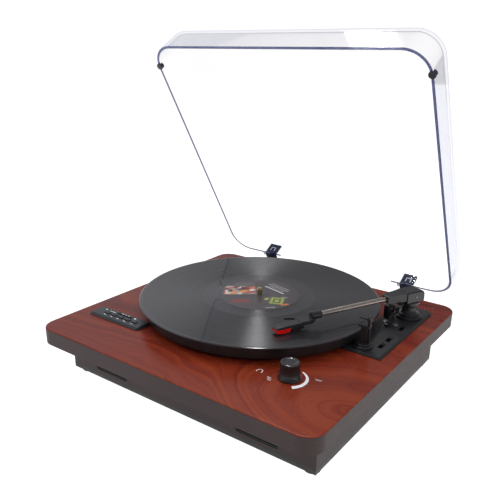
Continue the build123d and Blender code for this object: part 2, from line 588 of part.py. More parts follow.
def lift_platform():
    """Rod and curved rail that raise the arm."""
    x, y = around_pillar(LIFT_RADIUS, LIFT_HEADING)
    top = NOSE_BOTTOM - LIFT_GAP
    rail = disc(0, 0, top - 2, top, LIFT_RADIUS + 1.6) - disc(0, 0, top - 2, top, LIFT_RADIUS - 1.6)
    corners = [(0, 0)]
    for heading in (-2, 25, LIFT_HEADING + 6):
        angle = math.radians(-90 - heading)
        corners.append((60 * math.cos(angle), 60 * math.sin(angle)))
    wedge = extrude(make_face(Polyline(*corners, close=True)), 200)
    rail = Pos(ARM_X, ARM_Y, 0) * (rail & wedge)
    return rail + disc(x, y, 76, top - 1, 2.0)


def cue_lever():
    """Lever on the side of the lift: a hub with its stub axle and a flat handle to the front."""
    x, y = around_pillar(LIFT_RADIUS, LIFT_HEADING)
    hub = rod((x + 8.3, y, LEVER_Z), (x + 11.3, y, LEVER_Z), 4.0)
    axle = rod((x + 3.3, y, LEVER_Z), (x + 8.3, y, LEVER_Z), 1.5)
    handle = block(x + 8.3, x + 10.3, -LEVER_L, 0, -1.5, 1.5)
    paddle = block(x + 7.3, x + 12.3, -LEVER_L - 6, -LEVER_L + 2, -1.0, 1.0)
    bent = Pos(0, y, LEVER_Z) * Rot(17, 0, 0) * (handle + paddle)
    return hub + axle + bent


def arm_rest():
    """Stepped round base, post, shallow cradle and the fin that carries the clip."""
    rest = revolved(REST_X, REST_Y, [(0, BASE_TOP), (11.5, BASE_TOP), (11.5, 74.6), (10.6, 75.4),
                                     (9, 75.6), (9, 77.2), (8.2, 78), (0, 78)])
    post = side_post(REST_X - 4.6, REST_X + 4.6, 7.0, 78, 97)
    cradle = block(REST_X - 6.2, 150.8, REST_Y - 3.5, REST_Y + 3.5, 97, 99.4)
    horn = block(REST_X - 6.2, REST_X - 4.7, REST_Y - 3.5, REST_Y + 3.5, 99.4, 100.0)
    fin = block(147.6, 150.8, REST_Y - 1.5, REST_Y + 1.5, 75, CLIP_Z)
    eye = rod((CLIP_X, REST_Y - 1.5, CLIP_Z), (CLIP_X, REST_Y + 1.5, CLIP_Z), 2.1)
    rest = rest + post + cradle + horn + fin + eye
    return rest - rod((CLIP_X, REST_Y - 3, CLIP_Z), (CLIP_X, REST_Y + 3, CLIP_Z), 1.0 + RUNNING)


def side_post(x0, x1, depth, z0, z1):
    """Post of the arm rest, slimmer at its top."""
    face = make_face(Polyline((x0, 0, z0), (x1, 0, z0), (x1, 0, z1), (x0 + 2, 0, z1), close=True))
    return Pos(0, REST_Y, 0) * extrude(face, depth / 2, both=True)


def arm_clip():
    """Clip that swings over the parked arm: a pin, two cheeks and a flat finger."""
    pin = rod((0, -4.3, 0), (0, 4.3, 0), 1.0)
    clip = pin
    for side in (-1, 1):
        y0, y1 = sorted((side * 1.8, side * 4.0))
        clip += rod((0, y0, 0), (0, y1, 0), 2.1) + block(0, 3.6, y0, y1, -0.8, 0.8)
    clip += block(2.6, 11, -4.0, 4.0, -0.8, 0.8)
    return Pos(CLIP_X, REST_Y, CLIP_Z) * Rot(0, 180, 0) * clip


def switch_body(y):
    """Slide switch body under the plate."""
    return block(SWITCH_X - 4.5, SWITCH_X + 4.5, y - 9, y + 9, BOARD_TOP - 15, BOARD_TOP - 6)


def switch_knob(y):
    """Ribbed slider of a switch, at the rear end of its slot."""
    knob = block(SWITCH_X - 2.2, SWITCH_X + 2.2, y + 0.4, y + 6.4, BOARD_TOP - 5.8, BASE_TOP + 1.0)
    for groove in (1.6, 3.1, 4.6):
        knob -= block(SWITCH_X - 3, SWITCH_X + 3, y + groove, y + groove + 0.6, BASE_TOP + 0.5, BASE_TOP + 2)
    return knob


# --- Controls ------------------------------------------------------------------------------------
def button_x(index):
    """X of one button of the panel."""
    return BUTTON_X0 + index * BUTTON_PITCH


def control_panel():
    """Bevelled panel with five button holes, a socket hole, a card slot and a lamp hole."""
    panel = block(DECK_X0, DECK_X1, DECK_Y0, DECK_Y1, BOARD_TOP, DECK_TOP)
    panel = fillet(panel.edges().filter_by(Axis.Z), 3)
    panel = chamfer(top_edges(panel), 2.4)
    panel += block(DECK_X0 + 5.3, DECK_X1 - 5.3, DECK_Y0 + 4.3, DECK_Y1 - 2.8, BOARD_TOP - 3, BOARD_TOP)
    low, high = BOARD_TOP - 3, DECK_TOP
    for index in range(BUTTON_COUNT):
        x = button_x(index)
        panel -= block(x - BUTTON_W / 2 - 0.25, x + BUTTON_W / 2 + 0.25,
                       BUTTON_Y - BUTTON_D / 2 - 0.25, BUTTON_Y + BUTTON_D / 2 + 0.25, low, high)
    panel -= block(USB_X - USB_W / 2 - 0.4, USB_X + USB_W / 2 + 0.4, USB_Y - USB_D / 2 - 0.4,
                   USB_Y + USB_D / 2 + 0.4, low, high)
    panel -= block(CARD_X - CARD_W / 2, CARD_X + CARD_W / 2, CARD_Y - CARD_D / 2,
                   CARD_Y + CARD_D / 2, low, high)
    return panel - disc(LED_X, LED_Y, low, high, LED_R)


def panel_button(index):
    """Rectangular push button with a retaining flange below."""
    x = button_x(index)
    cap = block(x - BUTTON_W / 2, x + BUTTON_W / 2, BUTTON_Y - BUTTON_D / 2, BUTTON_Y + BUTTON_D / 2,
                BOARD_TOP - 4.2, DECK_TOP + BUTTON_PROUD)
    cap = fillet(top_edges(cap), 0.6)
    return cap + block(x - 4.9, x + 4.9, BUTTON_Y - 3, BUTTON_Y + 3, BOARD_TOP - 5.2, BOARD_TOP - 3.2)


def button_switch(index):
    """Push switch under one button."""
    x = button_x(index)
    base = block(x - 3, x + 3, BUTTON_Y - 3, BUTTON_Y + 3, BOARD_TOP - 12, BOARD_TOP - 8)
    return base + disc(x, BUTTON_Y, BOARD_TOP - 8, BOARD_TOP - 6.4, 1.7)


def usb_socket():
    """Folded metal shell of the memory-stick socket with its tongue."""
    x0, x1 = USB_X - USB_W / 2, USB_X + USB_W / 2
    y0, y1 = USB_Y - USB_D / 2, USB_Y + USB_D / 2
    shell = block(x0 - 0.4, x1 + 0.4, y0 - 0.4, y1 + 0.4, BOARD_TOP - 12, DECK_TOP - 0.2)
    return shell - block(x0, x1, y0, y1, BOARD_TOP - 11, DECK_TOP)


def card_socket():
    """Thin metal case of the memory-card slot."""
    x0, x1 = CARD_X - CARD_W / 2 - 0.5, CARD_X + CARD_W / 2 + 0.5
    shell = block(x0, x1, CARD_Y - 2, CARD_Y + 2, BOARD_TOP - 16, BOARD_TOP - 3)
    return shell - block(x0 + 0.5, x1 - 0.5, CARD_Y - 1.4, CARD_Y + 1.4, BOARD_TOP - 15, BOARD_TOP - 3)


def status_led():
    """Round indicator lamp."""
    lamp = disc(LED_X, LED_Y, BOARD_TOP - 5, DECK_TOP, LED_R)
    return lamp + (Pos(LED_X, LED_Y, DECK_TOP - 0.6) * Sphere(LED_R))


def volume_control():
    """Potentiometer under the board with its threaded bush."""
    body = disc(KNOB_X, KNOB_Y, BOARD_BOTTOM - 9, BOARD_BOTTOM, 9)
    body += disc(KNOB_X, KNOB_Y, BOARD_BOTTOM, BOARD_TOP, 4.3)
    return body - disc(KNOB_X, KNOB_Y, BOARD_BOTTOM - 6, BOARD_TOP, JOURNAL_R + RUNNING)


def volume_knob():
    """Knob with a flared skirt, fine grip ribs and a dished top, on its shaft."""
    base = BOARD_TOP + 0.4
    top = BOARD_TOP + KNOB_H
    profile = [(0, base), (KNOB_SKIRT_R, base), (KNOB_SKIRT_R, base + 1.2), (11.7, base + 3.2),
               (11.1, base + 5.5), (10.9, base + 8), (KNOB_TOP_R, top - 0.9), (KNOB_TOP_R - 0.9, top),
               (9.0, top), (8.6, top - 0.5), (0, top - 0.5)]
    knob = revolved(0, 0, profile)
    for rib in range(36):
        groove = Pos(KNOB_TOP_R + 0.55, 0, 0) * disc(0, 0, base + 6, top + 1, 0.45)
        knob -= Rot(0, 0, 10 * rib) * groove
    knob += disc(0, 0, BOARD_BOTTOM - 5.8, base, JOURNAL_R)
    return Pos(KNOB_X, KNOB_Y, 0) * knob


# --- Dust cover and hinges -------------------------------------------------------------------------
# The cover's pieces are drawn closed and then turned open about the hinge pins.
OPEN_TURN = Pos(0, HINGE_Y, HINGE_Z) * Rot(-COVER_OPEN, 0, 0) * Pos(0, -HINGE_Y, -HINGE_Z)


def closed_cover():
    """Clear one-piece cover: rounded shell, notched rear wall and two hinge pockets."""
    centre_y = COVER_BACK - COVER_D / 2
    outer = extrude(RectangleRounded(COVER_W, COVER_D, COVER_CORNER), COVER_H)
    outer = fillet(top_edges(outer), COVER_FILLET)
    inner = extrude(RectangleRounded(COVER_W - 2 * COVER_T, COVER_D - 2 * COVER_T,
                                     COVER_CORNER - COVER_T), COVER_H - COVER_T)
    inner = fillet(top_edges(inner), COVER_FILLET - COVER_T)
    shell = Pos(0, centre_y, COVER_BOTTOM) * (outer - inner)
    low, high = COVER_BOTTOM, COVER_BOTTOM + NOTCH_H
    notch = make_face(Polyline((-NOTCH_HALF - 6, 0, low), (-NOTCH_HALF, 0, high - 4),
                               (-NOTCH_HALF + 5, 0, high), (-9, 0, high), (-6, 0, high - 3),
                               (6, 0, high - 3), (9, 0, high), (NOTCH_HALF - 5, 0, high),
                               (NOTCH_HALF, 0, high - 4), (NOTCH_HALF + 6, 0, low), close=True))
    shell -= Pos(0, COVER_BACK - COVER_T / 2, 0) * extrude(notch, 4, both=True)
    for side in (-1, 1):
        x = side * HINGE_X
        pocket = block(x - 12.5, x + 12.5, COVER_BACK - 0.5, COVER_BACK + 5.5, low, low + 28)
        pocket -= block(x - 10, x + 10, COVER_BACK, COVER_BACK + 3.4, low, low + 26.5)
        pocket -= block(x - 10, x + 10, COVER_BACK + 3.4, COVER_BACK + 5.5, low, low + 4)
        shell += pocket
    return shell


def bumpers(shell):
    """Two round rubber buttons clipped over the side rims near the front corners."""
    buttons = []
    for side in (-1, 1):
        x = side * (COVER_W / 2 - COVER_T / 2)
        y = COVER_BACK - COVER_D + BUMPER_BACK
        button = disc(x, y, BOARD_TOP + 0.4, COVER_BOTTOM + 4.0, BUMPER_R)
        button = fillet(button.faces().sort_by(Axis.Z)[0].edges(), 0.5)
        buttons.append(OPEN_TURN * (button - shell))
    return buttons


def hinge_leaf(side):
    """Moving leaf: a knuckle on the pin, a web over the board's edge and a tongue in the pocket."""
    x = side * HINGE_X
    front = COVER_BACK + 0.5
    tongue_x0, tongue_x1 = x - TONGUE_W / 2, x + TONGUE_W / 2
    foot_z = COVER_BOTTOM + 0.3
    leaf = rod((x - 5.8, HINGE_Y, HINGE_Z), (x + 5.8, HINGE_Y, HINGE_Z), KNUCKLE_R)
    leaf += block(x - 5.8, x + 5.8, HINGE_Y - KNUCKLE_R, HINGE_Y, HINGE_Z, foot_z + 2.4)
    leaf += block(tongue_x0, tongue_x1, front, HINGE_Y, foot_z, foot_z + 2.4)
    leaf += block(tongue_x0, tongue_x1, front, front + TONGUE_T, foot_z, foot_z + TONGUE_H)
    leaf -= rod((x - 8, HINGE_Y, HINGE_Z), (x + 8, HINGE_Y, HINGE_Z), HINGE_PIN_R + RUNNING)
    return OPEN_TURN * leaf


def hinge_base(side):
    """Fixed leaf screwed to the board's rear edge, with two knuckles for the pin."""
    x = side * HINGE_X
    back = BOARD_D / 2
    base = block(x - 20, x + 20, back, back + 2.5, BOARD_BOTTOM + 1, BOARD_TOP - 1)
    base = chamfer(base.faces().sort_by(Axis.Y)[-1].edges(), 0.8)
    for low, high in ((-11.0, -6.1), (6.1, 11.0)):
        base += rod((x + low, HINGE_Y, HINGE_Z), (x + high, HINGE_Y, HINGE_Z), KNUCKLE_R)
        base += block(x + low, x + high, back + 2, HINGE_Y, HINGE_Z - KNUCKLE_R, HINGE_Z + KNUCKLE_R - 1)
    base -= rod((x - 12, HINGE_Y, HINGE_Z), (x + 12, HINGE_Y, HINGE_Z), HINGE_PIN_R)
    for offset in (-HINGE_SCREW_X, HINGE_SCREW_X):
        base -= rod((x + offset, back - 1, HINGE_Z + 1.5), (x + offset, back + 3, HINGE_Z + 1.5), SCREW_R)
    return base


def hinge_pin(side):
    """Steel pin of one hinge."""
    x = side * HINGE_X
    return rod((x - 11.4, HINGE_Y, HINGE_Z), (x + 11.4, HINGE_Y, HINGE_Z), HINGE_PIN_R)


def main():
    """Build and write every node."""
    os.makedirs("parts", exist_ok=True)
    sides = (-1, 1)
    save("top_board", top_board())
    save("box_walls", box_front(), box_rear(), *[box_side(side) for side in sides])
    save("bottom_panel", bottom_panel())
    save("rubber_feet", *[foot(sx * FOOT_X, sy * FOOT_Y) for sx in sides for sy in sides])
    save("speaker_grilles", *[speaker_grille(side) for side in sides])
    save("speaker_frames", *[speaker_frame(side) for side in sides])
    save("speaker_cones", *[speaker_cone(side) for side in sides])
    save("standoffs", *standoffs())
    save("circuit_board", circuit_board())
    save("circuit_components", *circuit_components())
    save("rear_jack_plate", rear_jack_plate())
    save("rear_jacks", *rear_jacks())
    save("headphone_jack", headphone_jack())
    save("motor_body", motor_body())
    save("motor_pulley", motor_pulley())
    save("drive_belt", drive_belt())
    save("bearing_housing", bearing_housing())
    save("thrust_ball", thrust_ball())
    save("spindle", spindle())
    save("platter", platter())
    save("slip_mat", annulus(MAT_R, SPINDLE_R + 0.1, PLATTER_TOP, RECORD_TOP - RECORD_T))
    save("vinyl_record", vinyl_record())
    save("record_label", annulus(LABEL_R, SPINDLE_R + 0.1, RECORD_TOP, RECORD_TOP + LABEL_T))
    save("arm_base_plate", arm_base_plate())
    save("screws", *case_screws(), *small_screws())
    save("arm_pillar", arm_pillar())
    save("pivot_head", pivot_head())
    save("arm_housing", arm_housing())
    save("arm_tube", arm_tube())
    save("counterweight", counterweight())
    save("tilt_axle", tilt_axle())
    save("headshell", headshell())
    save("cartridge", cartridge())
    save("stylus", stylus())
    save("lift_cylinder", lift_cylinder())
    save("lift_platform", lift_platform())
    save("cue_lever", cue_lever())
    save("arm_rest", arm_rest())
    save("arm_clip", arm_clip())
    save("switch_bodies", *[switch_body(y) for y in SWITCHES.values()])
    for node, y in SWITCHES.items():
        save(node, switch_knob(y))
    save("control_panel", control_panel())
    for index in range(BUTTON_COUNT):
        save(f"panel_button_{index + 1}", panel_button(index))
    save("button_switches", *[button_switch(index) for index in range(BUTTON_COUNT)])
    save("usb_socket", usb_socket())
    save("card_socket", card_socket())
    save("status_led", status_led())
    save("volume_control", volume_control())
    save("volume_knob", volume_knob())
    shell = closed_cover()
    save("dust_cover", OPEN_TURN * shell)
    save("cover_bumpers", *bumpers(shell))
    save("hinge_leaves", *[hinge_leaf(side) for side in sides])
    save("hinge_bases", *[hinge_base(side) for side in sides])
    save("hinge_pins", *[hinge_pin(side) for side in sides])


main()
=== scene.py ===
"""Looks of a belt-drive record player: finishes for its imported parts, and finer pieces round them."""
from __future__ import annotations

import json
import logging
import math
from dataclasses import dataclass, field
from enum import Enum

import bmesh
import bpy
import numpy as np
from mathutils import Matrix, Vector


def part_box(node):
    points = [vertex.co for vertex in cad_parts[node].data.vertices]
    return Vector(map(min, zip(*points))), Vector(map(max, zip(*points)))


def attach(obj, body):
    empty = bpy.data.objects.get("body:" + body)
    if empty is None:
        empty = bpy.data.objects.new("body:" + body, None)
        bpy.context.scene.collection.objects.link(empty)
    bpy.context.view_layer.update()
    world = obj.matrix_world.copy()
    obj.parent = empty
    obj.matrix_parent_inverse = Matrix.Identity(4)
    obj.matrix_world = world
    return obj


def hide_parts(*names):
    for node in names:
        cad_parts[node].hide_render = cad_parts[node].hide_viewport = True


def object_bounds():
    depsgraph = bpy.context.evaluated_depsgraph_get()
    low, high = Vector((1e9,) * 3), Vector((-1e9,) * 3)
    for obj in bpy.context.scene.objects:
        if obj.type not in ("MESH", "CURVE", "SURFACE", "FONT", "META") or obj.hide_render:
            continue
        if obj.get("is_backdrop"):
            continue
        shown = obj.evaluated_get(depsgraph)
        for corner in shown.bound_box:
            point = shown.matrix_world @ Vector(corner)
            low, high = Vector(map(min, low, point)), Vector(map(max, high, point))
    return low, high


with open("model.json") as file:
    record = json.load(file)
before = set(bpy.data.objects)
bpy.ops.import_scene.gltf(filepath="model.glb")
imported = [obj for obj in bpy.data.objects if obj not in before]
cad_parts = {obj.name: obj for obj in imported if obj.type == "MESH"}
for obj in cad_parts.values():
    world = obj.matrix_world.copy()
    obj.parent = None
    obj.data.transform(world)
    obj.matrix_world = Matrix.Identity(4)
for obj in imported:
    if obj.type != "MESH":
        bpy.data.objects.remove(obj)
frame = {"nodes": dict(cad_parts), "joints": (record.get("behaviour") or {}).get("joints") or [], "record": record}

LOG = logging.getLogger("record_player")
Colour = tuple[float, float, float]
MM = 0.001
MERGE = 1e-7  # points of a mesh that are nearer than this, in metres, become one
SHARP_DEG = 38.0  # faces that meet at more than this angle keep a sharp edge
INK = 0.06 * MM  # thickness of a printed mark
PROUD = 0.05 * MM  # how far a printed mark stands over its surface
DASH_GRID = (9, 5)  # points along and across a printed dash
CORNER_PULL = 0.16  # share of its half size by which a dash's corners draw in
BAND_ROWS = 4  # points across a printed band
LIME = (0.33, 0.38, 0.07)  # ink of the label's badge


class Body(Enum):
    """The moving bodies that new pieces ride on."""

    PLINTH = "plinth"
    PLATTER = "platter"
    COVER = "cover"
    KNOB = "knob"


# --- Meshes ----------------------------------------------------------------------------------


@dataclass
class Shell:
    """A surface as arrays: points (N, 3) in metres and faces (M, 4) that wind outwards."""

    points: np.ndarray
    faces: np.ndarray

    @staticmethod
    def joined(shells: list["Shell"]) -> "Shell":
        """Put several shells into one.

        Args:
            shells: the shells, each with its own numbering.

        Returns:
            One shell that holds them all.
        """
        starts = np.cumsum([0] + [len(s.points) for s in shells[:-1]])
        return Shell(
            np.vstack([s.points for s in shells]),
            np.vstack([s.faces + start for s, start in zip(shells, starts)]),
        )

    def piece(self, name: str, material: bpy.types.Material, body: Body, slot: str,
              smooth: bool = True) -> bpy.types.Object:
        """Make the shell an object at the origin that rides on a body.

        Args:
            name: the object's name.
            material: its finish.
            body: the body it moves with.
            slot: the record's material slot; not used.
            smooth: whether its faces shade smoothly up to the sharp angle.

        Returns:
            The object, with doubled points merged and its normals turned outwards.
        """
        mesh = bpy.data.meshes.new(name)
        mesh.from_pydata(self.points.tolist(), [], self.faces.tolist())
        work = bmesh.new()
        work.from_mesh(mesh)
        bmesh.ops.remove_doubles(work, verts=work.verts, dist=MERGE)
        bmesh.ops.dissolve_degenerate(work, edges=work.edges, dist=MERGE)
        bmesh.ops.recalc_face_normals(work, faces=work.faces)
        work.to_mesh(mesh)
        work.free()
        if smooth:
            mesh.shade_smooth()
            mesh.set_sharp_from_angle(angle=math.radians(SHARP_DEG))
        mesh.materials.append(material)
        made = bpy.data.objects.new(name, mesh)
        bpy.context.scene.collection.objects.link(made)
        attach(made, body.value)
        LOG.info("piece %s: %d faces on %s", name, len(mesh.polygons), body.value)
        return made


def net(rows: int, columns: int, wrap_rows: bool = False, wrap_columns: bool = False) -> np.ndarray:
    """Faces of a grid of points.

    The face at (i, j) joins points (i, j), (i, j+1), (i+1, j+1) and (i+1, j), counted round a seam
    where that direction wraps.

    Args:
        rows: points along the first parameter.
        columns: points along the second parameter.
        wrap_rows: whether the last row joins the first.
        wrap_columns: whether the last column joins the first.

    Returns:
        The (M, 4) faces.
    """
    i = np.arange(rows if wrap_rows else rows - 1)[:, None]
    j = np.arange(columns if wrap_columns else columns - 1)[None, :]
    i1, j1 = (i + 1) % rows, (j + 1) % columns
    corners = [i * columns + j, i * columns + j1, i1 * columns + j1, i1 * columns + j]
    return np.stack(corners, axis=-1).reshape(-1, 4)


def lathe(profile: np.ndarray, centre: Vector, segments: int, closed: bool = False,
          swell: np.ndarray | None = None) -> Shell:
    """Surface of revolution about an upright axis.

    The point (i, j) is at radius profile[i, 0] plus swell[i, j] and height profile[i, 1], turned
    by j whole steps of a circle.

    Args:
        profile: (n, 2) radii and heights in metres; radius 0 closes a pole.
        centre: a point of the axis, in metres; its z is added to the heights.
        segments: steps round the circle.
        closed: whether the profile is a loop.
        swell: (n, segments) radii to add, or None.

    Returns:
        The shell.
    """
    turn = np.linspace(0.0, 2 * np.pi, segments, endpoint=False)
    radius = profile[:, :1] + (0.0 if swell is None else swell)
    x = centre.x + radius * np.cos(turn)
    y = centre.y + radius * np.sin(turn)
    z = np.broadcast_to(centre.z + profile[:, 1:2], x.shape)
    return Shell(np.stack([x, y, z], axis=-1).reshape(-1, 3),
                 net(len(profile), segments, closed, True))


def slab(top: np.ndarray, drop: float) -> Shell:
    """Closed thin slab under a grid surface.

    The upper skin is the grid itself and the lower skin is the same grid moved down by drop; a
    wall joins the two along each of the four borders.

    Args:
        top: (rows, columns, 3) points of the upper skin, in metres.
        drop: thickness, in metres.

    Returns:
        The shell.
    """
    low = top - np.array([0.0, 0.0, drop])
    skin = net(*top.shape[:2])
    parts = [Shell(top.reshape(-1, 3), skin), Shell(low.reshape(-1, 3), skin[:, ::-1])]
    borders = ((top[0], low[0]), (top[-1], low[-1]), (top[:, 0], low[:, 0]), (top[:, -1], low[:, -1]))
    for upper, under in borders:
        parts.append(Shell(np.stack([upper, under]).reshape(-1, 3), net(2, len(upper))))
    return Shell.joined(parts)


def dash(x: float, y: float, z: float, width: float, depth: float, turn: float = 0.0) -> Shell:
    """Flat printed dash, nearly rectangular, with its corners drawn in.

    The point (u, v) of a square from -1 to 1 goes to u * (1 - pull * u^4 * v^2) half widths and
    v * (1 - pull * v^4 * u^2) half depths, which leaves the middles of the sides where they are.

    Args:
        x: centre, metres.
        y: centre, metres.
        z: height of its upper face, metres.
        width: full size along its own x, metres.
        depth: full size along its own y, metres.
        turn: its turn about Z, radians.

    Returns:
        The shell.
    """
    along, across = (np.linspace(-1, 1, count) for count in DASH_GRID)
    u, v = np.meshgrid(along, across, indexing="ij")
    px = u * (1 - CORNER_PULL * u**4 * v**2) * width / 2
    py = v * (1 - CORNER_PULL * v**4 * u**2) * depth / 2
    c, s = math.cos(turn), math.sin(turn)
    top = np.stack([x + c * px - s * py, y + s * px + c * py, np.full_like(px, z)], axis=-1)
    return slab(top, INK)


def arc_band(centre: Vector, inner: np.ndarray, outer: np.ndarray, angles: np.ndarray) -> Shell:
    """Flat printed band between two curves given in polar form about a centre.

    The rows of the grid are at even steps of radius from inner to outer, and column j is at
    angles[j].

    Args:
        centre: the centre, with the height of the upper face.
        inner: (n,) inner radii, metres.
        outer: (n,) outer radii, metres.
        angles: (n,) angles, radians.

    Returns:
        The shell.
    """
    share = np.linspace(0.0, 1.0, BAND_ROWS)[:, None]
    radius = inner + (outer - inner) * share
    top = np.stack([centre.x + radius * np.cos(angles), centre.y + radius * np.sin(angles),
                    np.full_like(radius, centre.z)], axis=-1)
    return slab(top, INK)


def upright(flat: Shell, x: float, y: float, z: float) -> Shell:
    """Stand a flat shell up against the rear, so that its y becomes height and its z becomes depth.

    Args:
        flat: the shell, about the origin.
        x: where its x starts, metres.
        y: where its depth starts, metres.
        z: where its height starts, metres.

    Returns:
        The shell that stands.
    """
    along, up, deep = flat.points.T
    return Shell(np.stack([x + along, y + deep, z + up], axis=-1), flat.faces)


def span(node: str) -> tuple[Vector, Vector, Vector]:
    """Lowest corner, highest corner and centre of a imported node, in metres."""
    low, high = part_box(node)
    return low, high, (low + high) / 2


def mount_place(name: str) -> Vector:
    """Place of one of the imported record's mounts, in metres."""
    return Vector(next(mount for mount in frame["record"]["mounts"] if mount["name"] == name)["pos_m"])


def cover_hinge() -> tuple[Vector, float]:
    """A point of the cover's hinge line, in metres, and how far the cover is open, in degrees."""
    joint = next(joint for joint in frame["joints"] if joint["name"] == "cover_hinge")
    return Vector(joint["pos_m"]), -joint["range_deg"][0]


# --- Materials -------------------------------------------------------------------------------


class Graph:
    """A material's node tree, with short calls for the nodes that the finishes share."""

    def __init__(self, name: str) -> None:
        """Start an empty node tree for a new material.

        Args:
            name: the material's name.
        """
        self.material = bpy.data.materials.new(name)
        self.material.use_nodes = True
        self.tree = self.material.node_tree
        self.tree.nodes.clear()

    def feed(self, socket: bpy.types.NodeSocket, value: object) -> None:
        """Link a socket's value, or set it where it is a constant.

        Args:
            socket: the input to feed.
            value: another node's output, or a constant; a colour may leave its alpha out.
        """
        if isinstance(value, bpy.types.NodeSocket):
            self.tree.links.new(value, socket)
        elif isinstance(value, tuple) and len(value) == 3 and socket.type == "RGBA":
            socket.default_value = (*value, 1.0)
        else:
            socket.default_value = value

    def node(self, kind: str, sockets: dict | None = None, **settings: object) -> bpy.types.Node:
        """Add a node.

        Args:
            kind: its type, without the ShaderNode prefix.
            sockets: values or links for its inputs, by name or index.
            **settings: its own properties.

        Returns:
            The node.
        """
        made = self.tree.nodes.new("ShaderNode" + kind)
        for key, value in settings.items():
            setattr(made, key, value)
        for key, value in (sockets or {}).items():
            self.feed(made.inputs[key], value)
        return made

    def place(self, centre: Vector = Vector((0, 0, 0)), scale: tuple = (1.0, 1.0, 1.0),
              turn: float = 0.0) -> bpy.types.NodeSocket:
        """Object coordinates in millimetres about a centre, turned about Z, then scaled.

        Args:
            centre: the centre, metres.
            scale: factor on each axis.
            turn: how far the pattern is turned, radians.

        Returns:
            The coordinates.
        """
        coords = self.node("TexCoord").outputs["Object"]
        moved = self.vector("SUBTRACT", coords, tuple(centre))
        spun = self.node("VectorRotate", {"Vector": moved, "Angle": -turn},
                         rotation_type="Z_AXIS").outputs[0] if turn else moved
        return self.vector("MULTIPLY", spun, tuple(v / MM for v in scale))

    def vector(self, operation: str, a: object,
               b: object = (0.0, 0.0, 0.0)) -> bpy.types.NodeSocket:
        """Vector arithmetic.

        Args:
            operation: the operation's name.
            a: first vector.
            b: second vector, where the operation has one.

        Returns:
            The number of a length or a dot product, and otherwise the vector.
        """
        made = self.node("VectorMath", {0: a, 1: b}, operation=operation)
        number = operation in ("LENGTH", "DOT_PRODUCT")
        return made.outputs["Value" if number else "Vector"]

    def math(self, operation: str, a: object, b: object = 0.0, c: object = 0.0,
             clamp: bool = False) -> bpy.types.NodeSocket:
        """Arithmetic on numbers."""
        return self.node("Math", {0: a, 1: b, 2: c}, operation=operation,
                         use_clamp=clamp).outputs[0]

    def split(self, vector: object) -> list[bpy.types.NodeSocket]:
        """The x, y and z of a vector."""
        return list(self.node("SeparateXYZ", {0: vector}).outputs)

    def noise(self, vector: object, scale: float, detail: float = 3.0, rough: float = 0.5,
              warp: float = 0.0) -> bpy.types.NodeSocket:
        """Noise from 0 to 1 over a vector."""
        return self.node("TexNoise", {"Vector": vector, "Scale": scale, "Detail": detail,
                                      "Roughness": rough, "Distortion": warp}).outputs[0]

    def noise_line(self, value: object, scale: float, detail: float = 3.0,
                   rough: float = 0.5) -> bpy.types.NodeSocket:
        """Noise from 0 to 1 along one number."""
        return self.node("TexNoise", {"W": value, "Scale": scale, "Detail": detail,
                                      "Roughness": rough}, noise_dimensions="1D").outputs[0]

    def remap(self, value: object, low: float, high: float, to_low: float = 0.0,
              to_high: float = 1.0) -> bpy.types.NodeSocket:
        """Smooth step of a value between two limits.

        Args:
            value: the value.
            low: where the step starts.
            high: where it ends.
            to_low: the result at the start.
            to_high: the result at the end.

        Returns:
            The result.
        """
        return self.node("MapRange", {"Value": value, "From Min": low, "From Max": high,
                                      "To Min": to_low, "To Max": to_high},
                         interpolation_type="SMOOTHSTEP").outputs[0]

    def ramp(self, factor: object,
             stops: tuple[tuple[float, Colour], ...]) -> bpy.types.NodeSocket:
        """Colour along a scale of stops.

        Args:
            factor: the place on the scale.
            stops: each stop's place and colour.

        Returns:
            The colour.
        """
        made = self.node("ValToRGB", {0: factor})
        elements = made.color_ramp.elements
        while len(elements) < len(stops):
            elements.new(0.5)
        for element, (position, colour) in zip(elements, stops):
            element.position, element.color = position, (*colour, 1.0)
        return made.outputs[0]

    def mix(self, factor: object, a: object, b: object) -> bpy.types.NodeSocket:
        """Mix of two colours; a Mix node keeps their inputs at 6 and 7, and the colour at 2."""
        return self.node("Mix", {0: factor, 6: a, 7: b}, data_type="RGBA").outputs[2]

    def blend(self, factor: object, a: object, b: object) -> bpy.types.NodeSocket:
        """Mix of two numbers; a Mix node keeps their inputs at 2 and 3."""
        return self.node("Mix", {0: factor, 2: a, 3: b}).outputs[0]

    def bump(self, height: object, distance: float, strength: float = 1.0,
             normal: object = None) -> bpy.types.NodeSocket:
        """Bumped normal.

        Args:
            height: the height, from 0 to 1.
            distance: the height of a full step, millimetres.
            strength: share of the bump that shows.
            normal: the normal to start from, or None for the surface's own.

        Returns:
            The normal.
        """
        sockets = {"Height": height, "Distance": distance * MM, "Strength": strength}
        if normal is not None:
            sockets["Normal"] = normal
        return self.node("Bump", sockets).outputs[0]

    def soft_edge(self, radius: float) -> tuple[bpy.types.NodeSocket, bpy.types.NodeSocket]:
        """Round the shading over edges.

        Args:
            radius: the edge's radius, millimetres.

        Returns:
            The rounded normal, and 1 at an edge, down to 0 where the surface is flat.
        """
        rounded = self.node("Bevel", {"Radius": radius * MM}, samples=4).outputs[0]
        true_normal = self.node("NewGeometry").outputs["Normal"]
        near = self.remap(self.vector("DOT_PRODUCT", rounded, true_normal), 0.995, 0.86)
        return rounded, near

    def shader(self, **sockets: object) -> bpy.types.NodeSocket:
        """Principled shader; an underscore in a name stands for a space."""
        named = {key.replace("_", " "): value for key, value in sockets.items()}
        return self.node("BsdfPrincipled", named).outputs[0]

    def finish(self, surface: bpy.types.NodeSocket) -> bpy.types.Material:
        """Join the surface to the output.

        Args:
            surface: the shader.

        Returns:
            The material.
        """
        output = self.tree.nodes.new("ShaderNodeOutputMaterial")
        self.tree.links.new(surface, output.inputs["Surface"])
        return self.material


